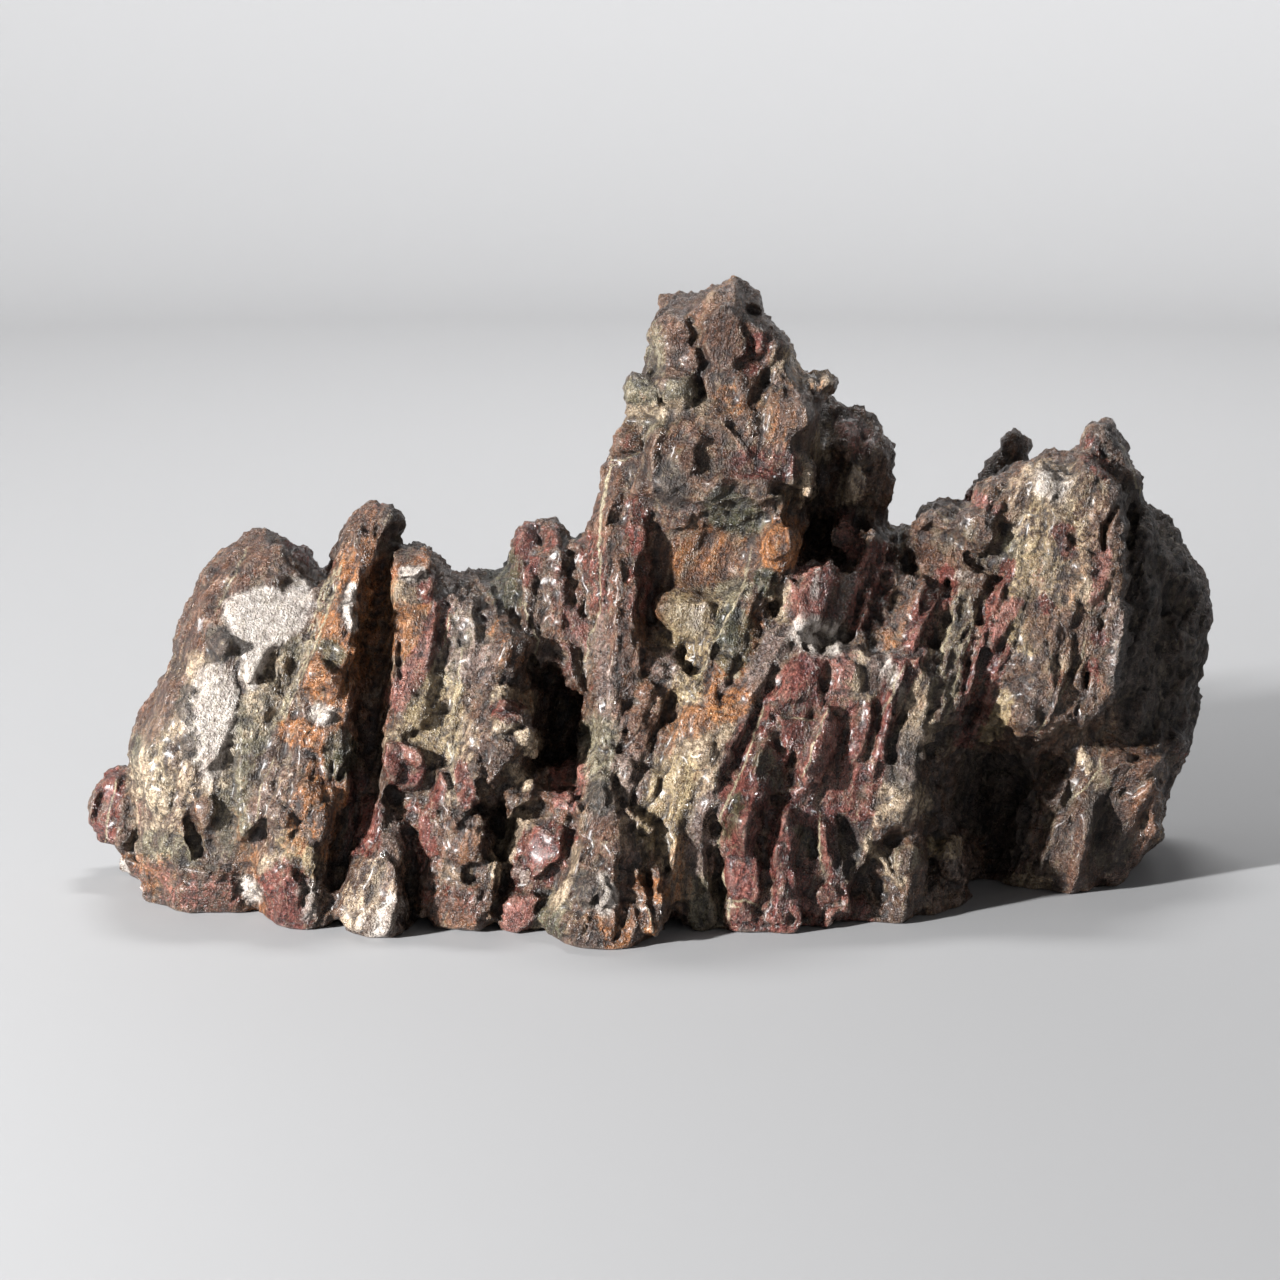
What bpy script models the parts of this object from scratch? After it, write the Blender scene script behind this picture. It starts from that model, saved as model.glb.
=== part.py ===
"""A viewing stone shaped like a mountain range: upright slabs of rock as ribs, a spire and a cliff.

The stone is one natural piece. It stands up along +Z with its face towards -Y, and the origin is under the
middle of its bounding box. Shapes are laid out in millimetres and scaled to metres once, at the end.
"""

import math

import bmesh
import bpy
import numpy as np
from mathutils import Matrix, Vector, noise

# Driving dimension: from end to end along X, in metres. All that follows is laid out in millimetres,
# and scaled to it.
STONE_LENGTH = 0.310

# The front elevation that the shapes are read from: what an eye here sees on the plane y = 0
EYE = Vector((-2.7, -932.0, 268.8))

# Fineness of the build, in millimetres except where a name says otherwise
MELT_VOXEL = 1.7
EVEN_VOXEL = 1.5
STATION_STEP = 3.0
THINNEST = 0.6
RING_SIDES = 24
TRIANGLES = 9600
FLOOR_BLOCK = Vector((400.0, 300.0, 50.0))

# The shape of a level section: power 1 is an oval, less is squarer, more is pointed
SLAB_POWER = 0.72
CLEFT_POWER = 1.0

# How a faceted lump's corners are turned out of line, and grown so that its flats reach its half sizes
FACET_TURN = 0.6
FACET_AXIS = Vector((1.0, 2.0, 3.0))
FACET_GROWTH = 1.1

# Weathering: the strata's lean to the right, then layers of noise as size across, into and along the strata,
# height, and whether it creases the skin or swells it
STRATA_LEAN = math.radians(16)
WEATHERING = [
    (26.0, 24.0, 34.0, 1.6, False),
    (9.0, 15.0, 22.0, 1.5, True),
    (4.2, 13.0, 19.0, 0.9, True),
    (6.5, 4.6, 6.5, 0.7, False),
]
NOISE_GAP = 7.3
SWELL = 1.6
CREASE_LIFT = 0.5
CREASE_DEPTH = 2.2

# Ribs: slabs on edge, as stations from foot to crest, each with its height, x, half width, y of its front
# edge and y of its back edge. Height and x are where the front edge is seen in the front elevation.
RIBS = {
    "left_shoulder": [
        (-8, -119, 17, -19, 40), (4, -120, 19, -22, 44), (20, -121, 22, -26, 46),
        (38, -120.5, 23, -25, 46), (55, -117.5, 21, -21, 44), (70, -113, 17.5, -15, 40),
        (84, -109, 14.5, -8, 34), (93, -105, 11, -1, 28), (98, -104, 5, 6, 20),
    ],
    "shoulder_crest": [
        (60, -100, 12, -12, 34), (76, -97, 11, -6, 28), (85, -96, 8, 0, 20), (89, -96, 4, 5, 14),
    ],
    "orange_fin": [
        (-11, -97, 10.5, -34, 26), (2, -97, 12, -36, 28), (14, -96, 12.5, -35, 30),
        (26, -94, 12, -35, 30), (38, -91, 10.5, -31, 30), (50, -89, 8.5, -27, 30),
        (60, -86.5, 8, -22, 30), (70, -84.5, 6.5, -17, 28), (80, -82, 5.8, -11, 26),
        (88, -79.5, 6, -7, 24), (96, -75.5, 7.4, -3, 22), (102, -73, 7.4, -1, 20),
        (106.5, -72, 5, 3, 15),
    ],
    "cream_foot": [
        (-14, -75, 8.5, -43, -4), (-6, -74.5, 9, -44, -2), (2, -73.5, 8, -42, 0),
        (10, -72, 7.5, -39, 2), (18, -68, 5, -34, 4), (24, -66, 3, -29, 4),
    ],
    "red_wedge": [
        (10, -76.5, 2, -34, -14), (18, -74.5, 3.2, -35, -12), (26, -73.5, 2.6, -32, -10),
        (32, -75, 1.2, -28, -10),
    ],
    "ochre_rib": [
        (-12, -53.5, 7, -41, 20), (-5, -54, 8.5, -39, 26), (6, -54, 8, -35, 30),
        (16, -56, 8, -31, 32), (27, -60, 8.5, -28, 34), (38, -63, 9.5, -28, 36),
        (52, -61.5, 10, -22, 36), (68, -62, 9, -14, 34), (82, -63, 7.8, -7, 30),
        (90, -63.5, 7, -2, 26), (95.5, -63, 4.5, 2, 20),
    ],
    "knobbly_mass": [
        (0, -48, 6, -30, 30), (12, -49, 7, -28, 36), (22, -48, 9, -27, 42),
        (32, -44, 12.5, -30, 46), (44, -42, 13, -30, 50), (55, -41, 11.5, -22, 50),
        (66, -42, 12, -16, 48), (78, -45, 12, -8, 38), (84, -48, 9.5, -1, 26), (88, -49, 5, 4, 16),
    ],
    "saddle": [
        (30, -27, 14, 10, 52), (60, -28, 13, 4, 50), (78, -29, 12, 2, 44), (90, -31, 9, 6, 34),
        (96, -32, 5, 9, 26),
    ],
    "saddle_tooth_left": [
        (66, -38, 3.2, -8, 14), (82, -36, 3, -2, 16), (95, -34, 2.6, 3, 17), (101, -33, 1.6, 5, 15),
    ],
    "saddle_tooth_right": [
        (56, -22, 3.6, -4, 20), (72, -24, 4.4, -2, 22), (88, -25.5, 4, 2, 22),
        (99, -26, 3.4, 5, 20), (103, -26, 1.8, 8, 17),
    ],
    "saddle_plate": [
        (60, -17, 4, -6, 24), (78, -18, 4.4, -3, 24), (92, -18, 4, 1, 22),
        (99.5, -18.5, 2.4, 5, 18),
    ],
    "spire_core": [
        (-6, 16, 26, -26, 46), (20, 15, 28, -20, 50), (44, 13, 28, -12, 54), (66, 13, 27, -9, 54),
        (88, 14, 27, -6, 50), (104, 16, 27.5, -8, 46), (118, 18, 26.5, -10, 42),
        (130, 19, 25, -9, 38), (139, 19, 21, -7, 34), (148, 19, 18, -5, 30),
        (156, 19, 14.5, -3, 27), (163, 19, 9.5, 1, 22), (167, 20.5, 4, 6, 16),
    ],
    "spire_left_rib": [
        (34, -12, 6.5, -31, 16), (42, -11, 7, -28, 20), (52, -10, 7.5, -27, 24),
        (64, -9.5, 7.8, -24, 26), (78, -8.5, 7.5, -19, 28), (92, -7.5, 7.8, -13, 28),
        (104, -7, 7.2, -8, 26), (114, -8, 5.5, -3, 24), (121, -8, 3.5, 0, 18),
    ],
    "left_rib_crest": [
        (74, -14, 2.6, -14, 14), (90, -13.5, 2.8, -8, 16), (103, -13.5, 2.6, -1, 16),
        (114, -12.5, 2, 3, 14),
    ],
    "spire_foot": [
        (-16, -13, 15.5, -52, 10), (-10, -13, 15.5, -51, 10), (0, -12, 12.5, -49, 8),
        (10, -10.5, 9.5, -46, 6), (20, -10, 8, -41, 6), (30, -12, 5.5, -35, 6),
        (38, -12, 4, -30, 6),
    ],
    "amber_rib": [
        (-4, 7.5, 3.2, -41, 4), (6, 6.5, 4.2, -41, 4), (16, 6, 4.5, -38, 4), (28, 7.5, 6.8, -34, 4),
        (40, 11, 9, -32, 6), (50, 13.5, 8.5, -28, 8), (60, 17, 7.2, -23, 10),
        (72, 22, 6.2, -17, 12), (84, 26, 5.2, -13, 14),
    ],
    "slate_rib": [
        (-13, 14, 4.2, -37, 4), (-4, 13.5, 4.4, -37, 4), (10, 12, 4.2, -36, 4),
        (24, 13, 4.6, -35, 4), (34, 17, 4.4, -34, 4), (44, 22, 4.2, -31, 6), (54, 26, 4.2, -27, 8),
        (64, 30.5, 4, -22, 10), (72, 32.5, 3.6, -18, 12), (77, 32, 2.4, -14, 12),
    ],
    "red_rib_tall": [
        (-13, 25.5, 5.4, -39, 6), (-6, 25, 5.4, -39, 6), (4, 24.5, 5.2, -39, 6),
        (12, 24.5, 5.8, -40, 6), (20, 25, 7, -42, 6), (28, 26.5, 7, -37, 6), (38, 29, 5.6, -30, 8),
        (47, 31, 3.4, -24, 8), (52, 31.5, 1.8, -20, 8),
    ],
    "red_plate_high": [
        (38, 42, 4, -20, 8), (48, 40.5, 5.5, -19, 8), (58, 38.5, 6.5, -17, 8),
        (66, 40.5, 5.4, -14, 8), (71, 41.5, 3, -10, 8),
    ],
    "red_rib_middle": [
        (28, 41, 3.6, -31, 2), (36, 43.5, 4.8, -31, 2), (44, 46.5, 4.8, -29, 2),
        (50, 48, 3.6, -26, 2), (54, 48, 1.8, -22, 2),
    ],
    "red_foot": [
        (-13, 38, 7, -39, 4), (-4, 37, 6.5, -38, 4), (8, 36, 5.6, -36, 4), (18, 37, 5.4, -35, 4),
        (27, 39, 4, -31, 4),
    ],
    "red_foot_right": [
        (-12, 50, 6.2, -36, 4), (-2, 49.5, 5, -35, 4), (8, 48, 4, -34, 4), (18, 47, 3.4, -32, 4),
        (25, 45, 2, -28, 4),
    ],
    "block_column": [
        (40, 52, 3.4, -20, 6), (50, 51.5, 3.8, -18, 6), (60, 51, 4.2, -16, 6),
        (69, 52, 3.4, -12, 6), (73, 53, 2, -8, 6),
    ],
    "pale_rib": [
        (30, 53.5, 4, -25, 6), (38, 54.5, 4, -23, 6), (48, 56.5, 3.8, -19, 6),
        (58, 58, 3.6, -14, 8), (64, 58, 2.4, -9, 8),
    ],
    "long_sliver": [
        (32, 59, 2.6, -26, 2), (42, 61, 3, -24, 2), (52, 63.5, 3, -21, 2), (62, 66, 3.2, -18, 4),
        (70, 68, 2.8, -15, 6), (80, 71.5, 2.9, -12, 8), (86, 74, 2.2, -9, 10), (89, 75, 1.2, -5, 8),
    ],
    "short_sliver": [
        (66, 51.5, 2, -12, 4), (76, 53.5, 2.6, -11, 6), (86, 56.5, 2.8, -8, 8),
        (94, 59, 1.6, -2, 8),
    ],
    "grey_slope": [
        (-10, 63, 9.5, -30, 30), (2, 66, 10, -28, 34), (14, 66, 10, -26, 38),
        (26, 67, 8.5, -24, 40), (38, 70, 7.5, -20, 44), (50, 74, 7.5, -14, 48), (62, 78, 8, -6, 50),
        (76, 80, 9.5, 2, 50), (88, 80, 12, 3, 48), (98, 80, 11.5, 8, 44), (104, 79, 8, 14, 36),
        (107, 80, 4, 18, 30),
    ],
    "red_blades": [
        (46, 83, 2.4, -14, 8), (56, 85, 2.6, -14, 8), (68, 88, 3, -12, 10), (80, 92, 3, -8, 12),
        (84, 94, 1.4, -4, 10),
    ],
    "cliff": [
        (20, 104, 16, 22, 62), (34, 103, 17, 16, 66), (43, 101, 16, 0, 66),
        (48, 100.5, 17.5, -9, 66), (58, 102, 19, -13, 68), (70, 104, 19, -12, 68),
        (84, 106, 18, -8, 66), (98, 108, 16.5, -3, 62), (108, 109, 14.5, 3, 52),
        (115, 110, 12, 8, 36), (119.5, 112, 7, 12, 26),
    ],
    "cliff_horn": [
        (104, 121, 7, 10, 34), (116, 121.5, 6.4, 13, 34), (124, 121, 5.4, 16, 32),
        (129.5, 120.5, 3.6, 18, 29),
    ],
    "rear_fin": [
        (84, 86, 6, 44, 62), (104, 90, 8, 44, 60), (114, 93.5, 8, 45, 58), (121, 95.5, 6, 47, 57),
        (126, 97, 3, 49, 56),
    ],
    "cliff_foot": [
        (-3, 113, 9.5, 1, 50), (6, 113.5, 10.5, -1, 54), (16, 114, 11, -3, 58),
        (28, 116, 10, 0, 60), (40, 119, 9, 4, 62),
    ],
    "side_rib_front": [
        (34, 124, 9, 10, 60), (46, 127, 10, 7, 64), (64, 129, 9.5, 7, 66), (82, 130, 9.5, 9, 64),
        (98, 129, 8.5, 13, 58), (107, 127, 6.5, 18, 48), (112, 126, 4, 22, 34),
    ],
    "side_rib_back": [
        (-2, 120, 13, 22, 62), (10, 124, 14, 20, 66), (24, 130, 14, 18, 68),
        (38, 137, 11.5, 18, 70), (50, 141, 9.5, 18, 72), (66, 142, 9.2, 20, 72),
        (80, 142, 9.2, 23, 70), (90, 139, 8.6, 27, 64), (99, 134, 8, 30, 56), (106, 130, 5, 34, 46),
    ],
    "foot_rib_left": [
        (-1, 103, 3.6, 3, 30), (8, 106, 4, 1, 30), (18, 110, 4.2, -1, 30), (28, 115, 4.4, 0, 32),
        (38, 120, 4, 3, 34),
    ],
    "foot_rib_middle": [
        (-1, 114, 4, -1, 34), (8, 115, 5.2, -4, 36), (18, 118, 5.2, -4, 38), (30, 123, 5, -1, 40),
        (40, 127, 4.5, 4, 42),
    ],
    "foot_rib_right": [
        (1, 126, 4.4, 6, 40), (12, 129, 5.8, 3, 44), (24, 132, 6.2, 3, 48), (36, 135, 5.5, 8, 52),
        (44, 137, 4, 12, 54),
    ],
    "cliff_toe": [
        (1, 98, 5.5, 6, 24), (6, 100, 4, 5, 24), (18, 104, 3.8, 2, 26), (28, 108, 4, 4, 28),
        (36, 112, 3.5, 6, 28),
    ],
}

# The body behind the ribs, in the form of RIBS
WALL = {
    "wall_shoulder": [
        (-8, -113, 20, -12, 40), (30, -115, 24, -16, 44), (60, -110, 21, -8, 40),
        (82, -105, 15, 0, 32), (94, -103, 8, 7, 22),
    ],
    "wall_fins": [
        (-8, -84, 22, -20, 42), (30, -82, 22, -19, 46), (60, -78, 20, -8, 42), (82, -75, 15, 0, 32),
        (91, -72, 9, 7, 22),
    ],
    "wall_ochre": [
        (-8, -54, 20, -22, 46), (26, -52, 22, -20, 52), (50, -50, 20, -12, 50),
        (70, -50, 18, -2, 40), (80, -50, 12, 6, 26),
    ],
    "wall_cave": [
        (-8, -26, 18, -20, 50), (20, -26, 16, -18, 54), (34, -26, 15, 4, 54), (60, -26, 14, 12, 52),
        (76, -28, 13, 4, 44), (92, -30, 8, 8, 30),
    ],
    "wall_spire": [
        (-8, 10, 30, -30, 56), (30, 10, 28, -24, 60), (60, 14, 26, -13, 58), (90, 18, 26, -4, 50),
    ],
    "wall_red": [
        (-8, 40, 26, -30, 56), (24, 42, 26, -27, 60), (50, 44, 25, -17, 60), (70, 48, 22, -6, 54),
        (88, 54, 17, 4, 46), (97, 58, 10, 10, 36),
    ],
    "wall_slope": [
        (0, 76, 14, -14, 56), (24, 76, 14, -12, 60), (50, 78, 16, -4, 60), (80, 80, 14, 6, 54),
        (100, 82, 10, 14, 40),
    ],
    "wall_cliff": [
        (34, 108, 18, 12, 66), (50, 108, 20, 0, 70), (80, 110, 20, 0, 68), (102, 112, 15, 8, 56),
        (112, 112, 10, 14, 36),
    ],
}

# Lumps, angular blocks and what closes the back: x, height and y of the centre as in RIBS, half sizes in x, y
# and z, lean to the right in degrees, and whether the lump is faceted
LUMPS = {
    "far_left_wedge": (-142, 25, 20, 11, 16, 12, 4, True),
    "left_plinth": (-121, 1, 2, 18, 21, 7, 0, True),
    "shoulder_knob": (-113, 68.5, -15, 4.4, 5, 5.6, 0, False),
    "fin_knuckle": (-88, 60, -22, 6.5, 6, 6, 10, False),
    "fin_belly": (-93, 24, -28, 11, 9, 12, 12, False),
    "fin_toe": (-91, 0, -29, 7, 7, 8, 0, True),
    "garnet_face": (-66.5, 37, -24, 6.5, 7, 8, 8, True),
    "mass_boss": (-38, 44, -24, 8.5, 8, 7, 0, False),
    "mass_chin": (-46, 34, -26, 8, 7, 7, 0, False),
    "mass_brow": (-38, 68, -12, 8, 8, 8, 0, False),
    "heel_lump": (-52, 14, -28, 7.5, 7, 6, 0, False),
    "dark_facet": (-28, 13, -26, 6, 9, 14.5, 20, True),
    "facet_backing": (-35, 14, -22, 5.5, 9, 12, 24, False),
    "pink_plate": (-35.5, -6, -32, 6.5, 8, 9, 12, True),
    "toe_ledge": (-46, -4, -30, 6, 9, 6, 0, True),
    "spire_head_left": (5.5, 152, 4, 6.2, 9, 8.5, 8, False),
    "spire_head": (19, 156, 0, 8.5, 9, 11, -6, False),
    "spire_head_right": (31, 151, 4, 5.5, 10, 8, -28, False),
    "collar_left": (-4, 137, 1, 4.6, 7, 7.2, 10, False),
    "collar_middle": (5.5, 138, -3, 6, 7, 5.4, 0, False),
    "collar_right": (24, 139, -3, 5.5, 6, 5, 0, False),
    "left_knob": (-7, 124, -1, 5, 6, 4.4, 25, False),
    "brow": (15, 113, -9, 22, 7, 5.5, -3, False),
    "cheek": (10, 121, -10, 9, 5, 6, -20, False),
    "amber_shoulder": (37, 132, -2, 9, 10, 9, -12, False),
    "hanging_tooth": (41, 116, -3, 3.4, 6, 9.5, -8, False),
    "shoulder_lip": (43.5, 139.5, 6, 6, 8, 3.2, -20, False),
    "lip_knob": (48, 139, 6, 2.4, 4, 3.4, 0, False),
    "back_buttress": (56.5, 119, 24, 7.2, 13, 15.5, -10, True),
    "buttress_knob_high": (52.5, 124, 12, 4.2, 5, 5.5, 0, False),
    "buttress_knob_low": (54, 112, 10, 3.6, 5, 6.5, -12, False),
    "buttress_root": (57, 97, 22, 8, 14, 9, 0, False),
    "copper_knob": (33.5, 97.5, -11, 6.6, 7.5, 7.2, 14, True),
    "knob_stem": (31, 88, -8, 6, 8, 6, 0, False),
    "moss_knob": (27, 83.5, -13, 4.6, 5, 4.4, 0, False),
    "cream_boss": (10.5, 77, -10, 9, 6, 8.5, -10, False),
    "left_rib_chin": (0.5, 56.5, -20, 5.5, 6, 3.6, 12, False),
    "root_knob": (-1, -5, -40, 6, 8, 9, 10, False),
    "red_boulder": (44.5, 81.5, -8, 8, 12, 12.8, 14, True),
    "pinch_crag": (51, 99, 4, 4.4, 6, 6.4, 0, True),
    "pinch_crag_right": (60, 97, 6, 5, 6, 4.5, 0, False),
    "slope_boss": (87, 101, 4, 7, 8, 6.5, -10, False),
    "slope_head": (75, 102, 12, 7, 9, 5.2, 0, False),
    "blade_shoulder": (93, 107, 14, 8, 12, 9, 0, False),
    "pale_knuckles": (74, 46, -15, 5, 6, 6, -20, False),
    "cliff_chin": (104, 55, -4, 15, 11, 10, 0, False),
    "cliff_temple": (103, 110, 8, 9, 9, 8, 0, False),
    "root_shelf": (80, 9, -6, 9.5, 10, 7, 10, False),
    "root_bridge": (72, 2, -2, 16, 20, 9, 8, False),
    "cliff_lip": (128, 37, 8, 11, 10, 4.6, 20, True),
    "side_knob_high": (135, 92, 30, 6, 12, 6, 10, False),
    "side_knob_low": (140.5, 72, 26, 6, 12, 7, 0, False),
    "side_ledge": (139, 46, 28, 7.5, 18, 5.5, 20, True),
    "buttress_web": (48, 116, 26, 10, 12, 20, -6, False),
}

# Slabs that carry the back: height, x, half width, y of the front edge, y of the back edge
BACK_RIBS = {
    "back_left_end": [
        (-2, -130, 13, 8, 40), (20, -128, 12, 6, 44), (44, -122, 11, 6, 40), (60, -116, 8, 8, 32),
    ],
    "back_shoulder": [
        (-2, -106, 13, 0, 50), (30, -104, 13, 0, 54), (60, -101, 11, 0, 46), (82, -98, 8, 4, 34),
    ],
    "back_fin": [
        (6, -82, 9, 0, 44), (34, -80, 9, 0, 48), (62, -76, 7.5, 0, 42), (84, -74, 5.5, 4, 30),
    ],
    "back_ochre": [
        (-2, -60, 12, 0, 52), (26, -59, 12, 0, 60), (54, -58, 11, 0, 54), (76, -60, 9, 2, 40),
    ],
    "back_saddle": [
        (4, -34, 14, 0, 60), (30, -33, 14, 0, 66), (58, -33, 12, 2, 58), (78, -32, 10, 4, 46),
    ],
    "back_spire_left": [
        (-2, -6, 13, 0, 66), (34, -4, 13, 0, 70), (70, 1, 11, 4, 58), (104, 6, 10, 6, 44),
        (132, 10, 8, 8, 34),
    ],
    "back_spire_right": [
        (-2, 24, 14, 0, 70), (36, 25, 14, 0, 72), (74, 27, 12, 4, 62), (112, 27, 10, 6, 46),
        (142, 24, 8, 8, 32),
    ],
    "back_pass": [
        (2, 54, 15, 0, 66), (34, 56, 15, 0, 68), (66, 58, 13, 4, 60), (92, 60, 9, 10, 44),
    ],
    "back_cliff_left": [
        (-2, 84, 13, 14, 68), (30, 86, 13, 10, 74), (64, 88, 12, 10, 70), (90, 92, 10, 14, 60),
    ],
    "back_cliff_right": [
        (-2, 110, 13, 12, 66), (30, 112, 14, 10, 74), (66, 112, 13, 10, 74), (98, 112, 11, 12, 62),
    ],
}

# Clefts and caves, in the form of RIBS: the space that each one clears, from in front of the rock to its end
CLEFTS = {
    "fin_cleft": [
        (26, -77.5, 2.4, -60, -18), (40, -76, 3.2, -60, -14), (60, -75, 3.6, -60, -8),
        (78, -74.5, 3, -60, -2), (90, -72.5, 2.2, -60, 4), (98, -69.5, 1.4, -60, 8),
    ],
    "saddle_cave": [
        (30, -31, 3, -60, -6), (38, -25, 5.5, -60, 6), (48, -24, 7, -60, 10), (57, -24, 6, -60, 8),
        (66, -27.5, 3.2, -60, 2), (78, -29, 2, -60, 2),
    ],
    "foot_cleft": [(-14, -63.5, 2.6, -70, -14), (0, -63, 2, -70, -18), (14, -63, 1.4, -70, -22)],
    "toe_cleft": [(-14, -44, 2.6, -70, -18), (-4, -42.5, 2, -70, -20), (6, -41, 1.4, -70, -20)],
    "amber_hollow": [(42, 1, 2, -60, -14), (50, 4.5, 4.2, -60, -6), (58, 7.5, 3.4, -60, -6)],
    "amber_cleft": [(-4, 2.5, 1.8, -70, -26), (8, 1.5, 2, -70, -24), (20, 0.5, 1.6, -70, -24)],
    "slate_cleft": [(-8, 18.7, 1.4, -70, -24), (8, 17.5, 1.7, -70, -22), (22, 18, 1.2, -70, -24)],
    "red_cleft": [
        (-8, 31.5, 1.2, -70, -26), (8, 31, 1.3, -70, -24), (22, 33, 1, -70, -22),
        (38, 37, 1.8, -70, -18), (50, 34, 1, -70, -14),
    ],
    "middle_cleft": [(22, 43, 1.2, -70, -20), (34, 50, 1.6, -70, -16), (44, 53.5, 1, -70, -14)],
    "black_hole": [
        (91, 44, 2.6, -60, 6), (97, 44.5, 4, -60, 18), (104, 46, 3.4, -60, 14),
        (108, 49, 3, -60, 8),
    ],
    "buttress_gap": [(108, 47.5, 2.2, -60, 8), (118, 46.5, 1.6, -60, 6), (130, 47, 1.2, -60, 8)],
    "sliver_shade": [
        (66, 75, 1.6, -60, -2), (76, 77.5, 3, -60, 8), (84, 78.5, 3.4, -60, 12),
        (89, 79, 2, -60, 12),
    ],
    "cliff_recess": [
        (-6, 97, 5, -60, 0), (4, 93, 7, -60, 14), (14, 92, 9, -60, 22), (24, 92, 12, -60, 22),
        (34, 93, 14, -60, 18), (42, 92, 10, -60, 10),
    ],
    "side_cleft": [
        (48, 121, 1.6, -60, 16), (64, 125, 2, -60, 18), (84, 126.5, 2.2, -60, 20),
        (104, 126, 1.8, -60, 24),
    ],
    "lip_cleft": [(22, 124, 1.2, -60, 8), (30, 131, 1.6, -60, 14)],
    "plinth_notch": [
        (8, -117, 1.8, -60, -13), (14, -119.5, 2.4, -60, -14), (22, -121.5, 1.2, -60, -17),
    ],
}
# Scoops that leave the underside standing on its rim and a few flats, in the form of LUMPS
SCOOPS = {
    "under_shoulder": (-104, -6, 12, 28, 20, 17, 0, False),
    "under_fin": (-66, -5, 18, 19, 17, 15, 0, False),
    "under_saddle": (-32, -6, 24, 15, 18, 16, 0, False),
    "under_red_ribs": (42, -6, 12, 26, 19, 17, 0, False),
    "under_cliff": (114, -1, 40, 19, 18, 15, 0, False),
}

STONE_COLOUR = (0.17, 0.11, 0.09, 1.0)
STONE_ROUGHNESS = 0.42


def seen_at(x, height, y):
    """The point at depth y that covers the point (x, 0, height) of the front elevation, for the eye."""
    nearer = 1.0 + y / -EYE.y
    return Vector((EYE.x + (x - EYE.x) * nearer, y, EYE.z + (height - EYE.z) * nearer))


def smooth_stations(stations):
    """The stations with more between them, on a Catmull-Rom curve through every given one."""
    table = np.array(stations, float)
    padded = np.vstack([2 * table[0] - table[1], table, 2 * table[-1] - table[-2]])
    rows = []
    for before, start, end, after in zip(padded, padded[1:], padded[2:], padded[3:]):
        steps = max(1, round(abs(end[0] - start[0]) / STATION_STEP))
        for t in np.arange(steps) / steps:
            rows.append(
                start
                + 0.5 * t * (end - before)
                + t * t * (before - 2.5 * start + 2 * end - 0.5 * after)
                + t**3 * (1.5 * (start - end) + 0.5 * (after - before))
            )
    rows.append(table[-1])
    return np.array(rows)


def section(power):
    """The corners of a section from -1 to 1 both ways: to the right, then to the front."""
    for side in range(RING_SIDES):
        turn = 2 * math.pi * side / RING_SIDES
        cos, sin = math.cos(turn), math.sin(turn)
        yield math.copysign(abs(cos) ** power, cos), math.copysign(abs(sin) ** power, sin)


def bridge(bm, rings):
    """Joins each ring to the one above it and closes both ends."""
    for low, high in zip(rings, rings[1:]):
        for side in range(RING_SIDES):
            after = (side + 1) % RING_SIDES
            bm.faces.new((low[side], high[side], high[after], low[after]))
    bm.faces.new(rings[0])
    bm.faces.new(reversed(rings[-1]))


def add_slab(bm, stations):
    """A slab on edge: level sections, each as deep and as wide as its station says."""
    rings = []
    for height, x, half_width, front, back in smooth_stations(stations):
        edge = seen_at(x, height, front)
        half_width = max(half_width, THINNEST)
        half_depth = max((back - front) / 2, THINNEST)
        ring = []
        for right, ahead in section(SLAB_POWER):
            y = (front + back) / 2 - ahead * half_depth
            ring.append(bm.verts.new((edge.x + right * half_width, y, edge.z)))
        rings.append(ring)
    bridge(bm, rings)


def add_cleft(bm, stations):
    """The space of a cleft: oval sections that follow the eye's sight lines into the rock."""
    rings = []
    for height, x, half_width, front, back in smooth_stations(stations):
        ring = []
        for right, ahead in section(CLEFT_POWER):
            y = (front + back) / 2 - ahead * (back - front) / 2
            centre = seen_at(x, height, y)
            ring.append(bm.verts.new((centre.x + half_width * right, y, centre.z)))
        rings.append(ring)
    bridge(bm, rings)


def add_lump(bm, x, height, y, half_x, half_y, half_z, lean, faceted):
    """A boulder, round or with broad flat faces, leaning to the right by lean degrees."""
    shape = Matrix.Translation(seen_at(x, height, y)) @ Matrix.Rotation(math.radians(lean), 4, "Y")
    shape = shape @ Matrix.Diagonal((half_x, half_y, half_z, 1))
    if faceted:
        shape = shape @ Matrix.Rotation(FACET_TURN, 4, FACET_AXIS) @ Matrix.Scale(FACET_GROWTH, 4)
    bmesh.ops.create_icosphere(bm, subdivisions=1 if faceted else 3, radius=1.0, matrix=shape)


def object_from(bm, name):
    """A new object with the bmesh's faces turned outwards."""
    bmesh.ops.recalc_face_normals(bm, faces=bm.faces)
    mesh = bpy.data.meshes.new(name)
    bm.to_mesh(mesh)
    bm.free()
    obj = bpy.data.objects.new(name, mesh)
    bpy.context.scene.collection.objects.link(obj)
    return obj


def fuse(obj, name, voxel):
    """A Remesh that melts overlapping shapes into one skin of even squares."""
    remesh = obj.modifiers.new(name, "REMESH")
    remesh.mode = "VOXEL"
    remesh.voxel_size = voxel


def subtract(obj, cutter, name):
    cut = obj.modifiers.new(name, "BOOLEAN")
    cut.operation = "DIFFERENCE"
    cut.solver = "EXACT"
    cut.object = cutter
    cutter.hide_render = True
    cutter.display_type = "WIRE"


def settled(obj):
    """A new mesh of the object with its modifiers applied, and the object removed."""
    graph = bpy.context.evaluated_depsgraph_get()
    mesh = bpy.data.meshes.new_from_object(obj.evaluated_get(graph))
    bpy.data.objects.remove(obj)
    return mesh


def points_of(mesh, field):
    values = np.empty(len(mesh.vertices) * 3)
    mesh.vertices.foreach_get(field, values)
    return values.reshape(-1, 3)


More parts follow.
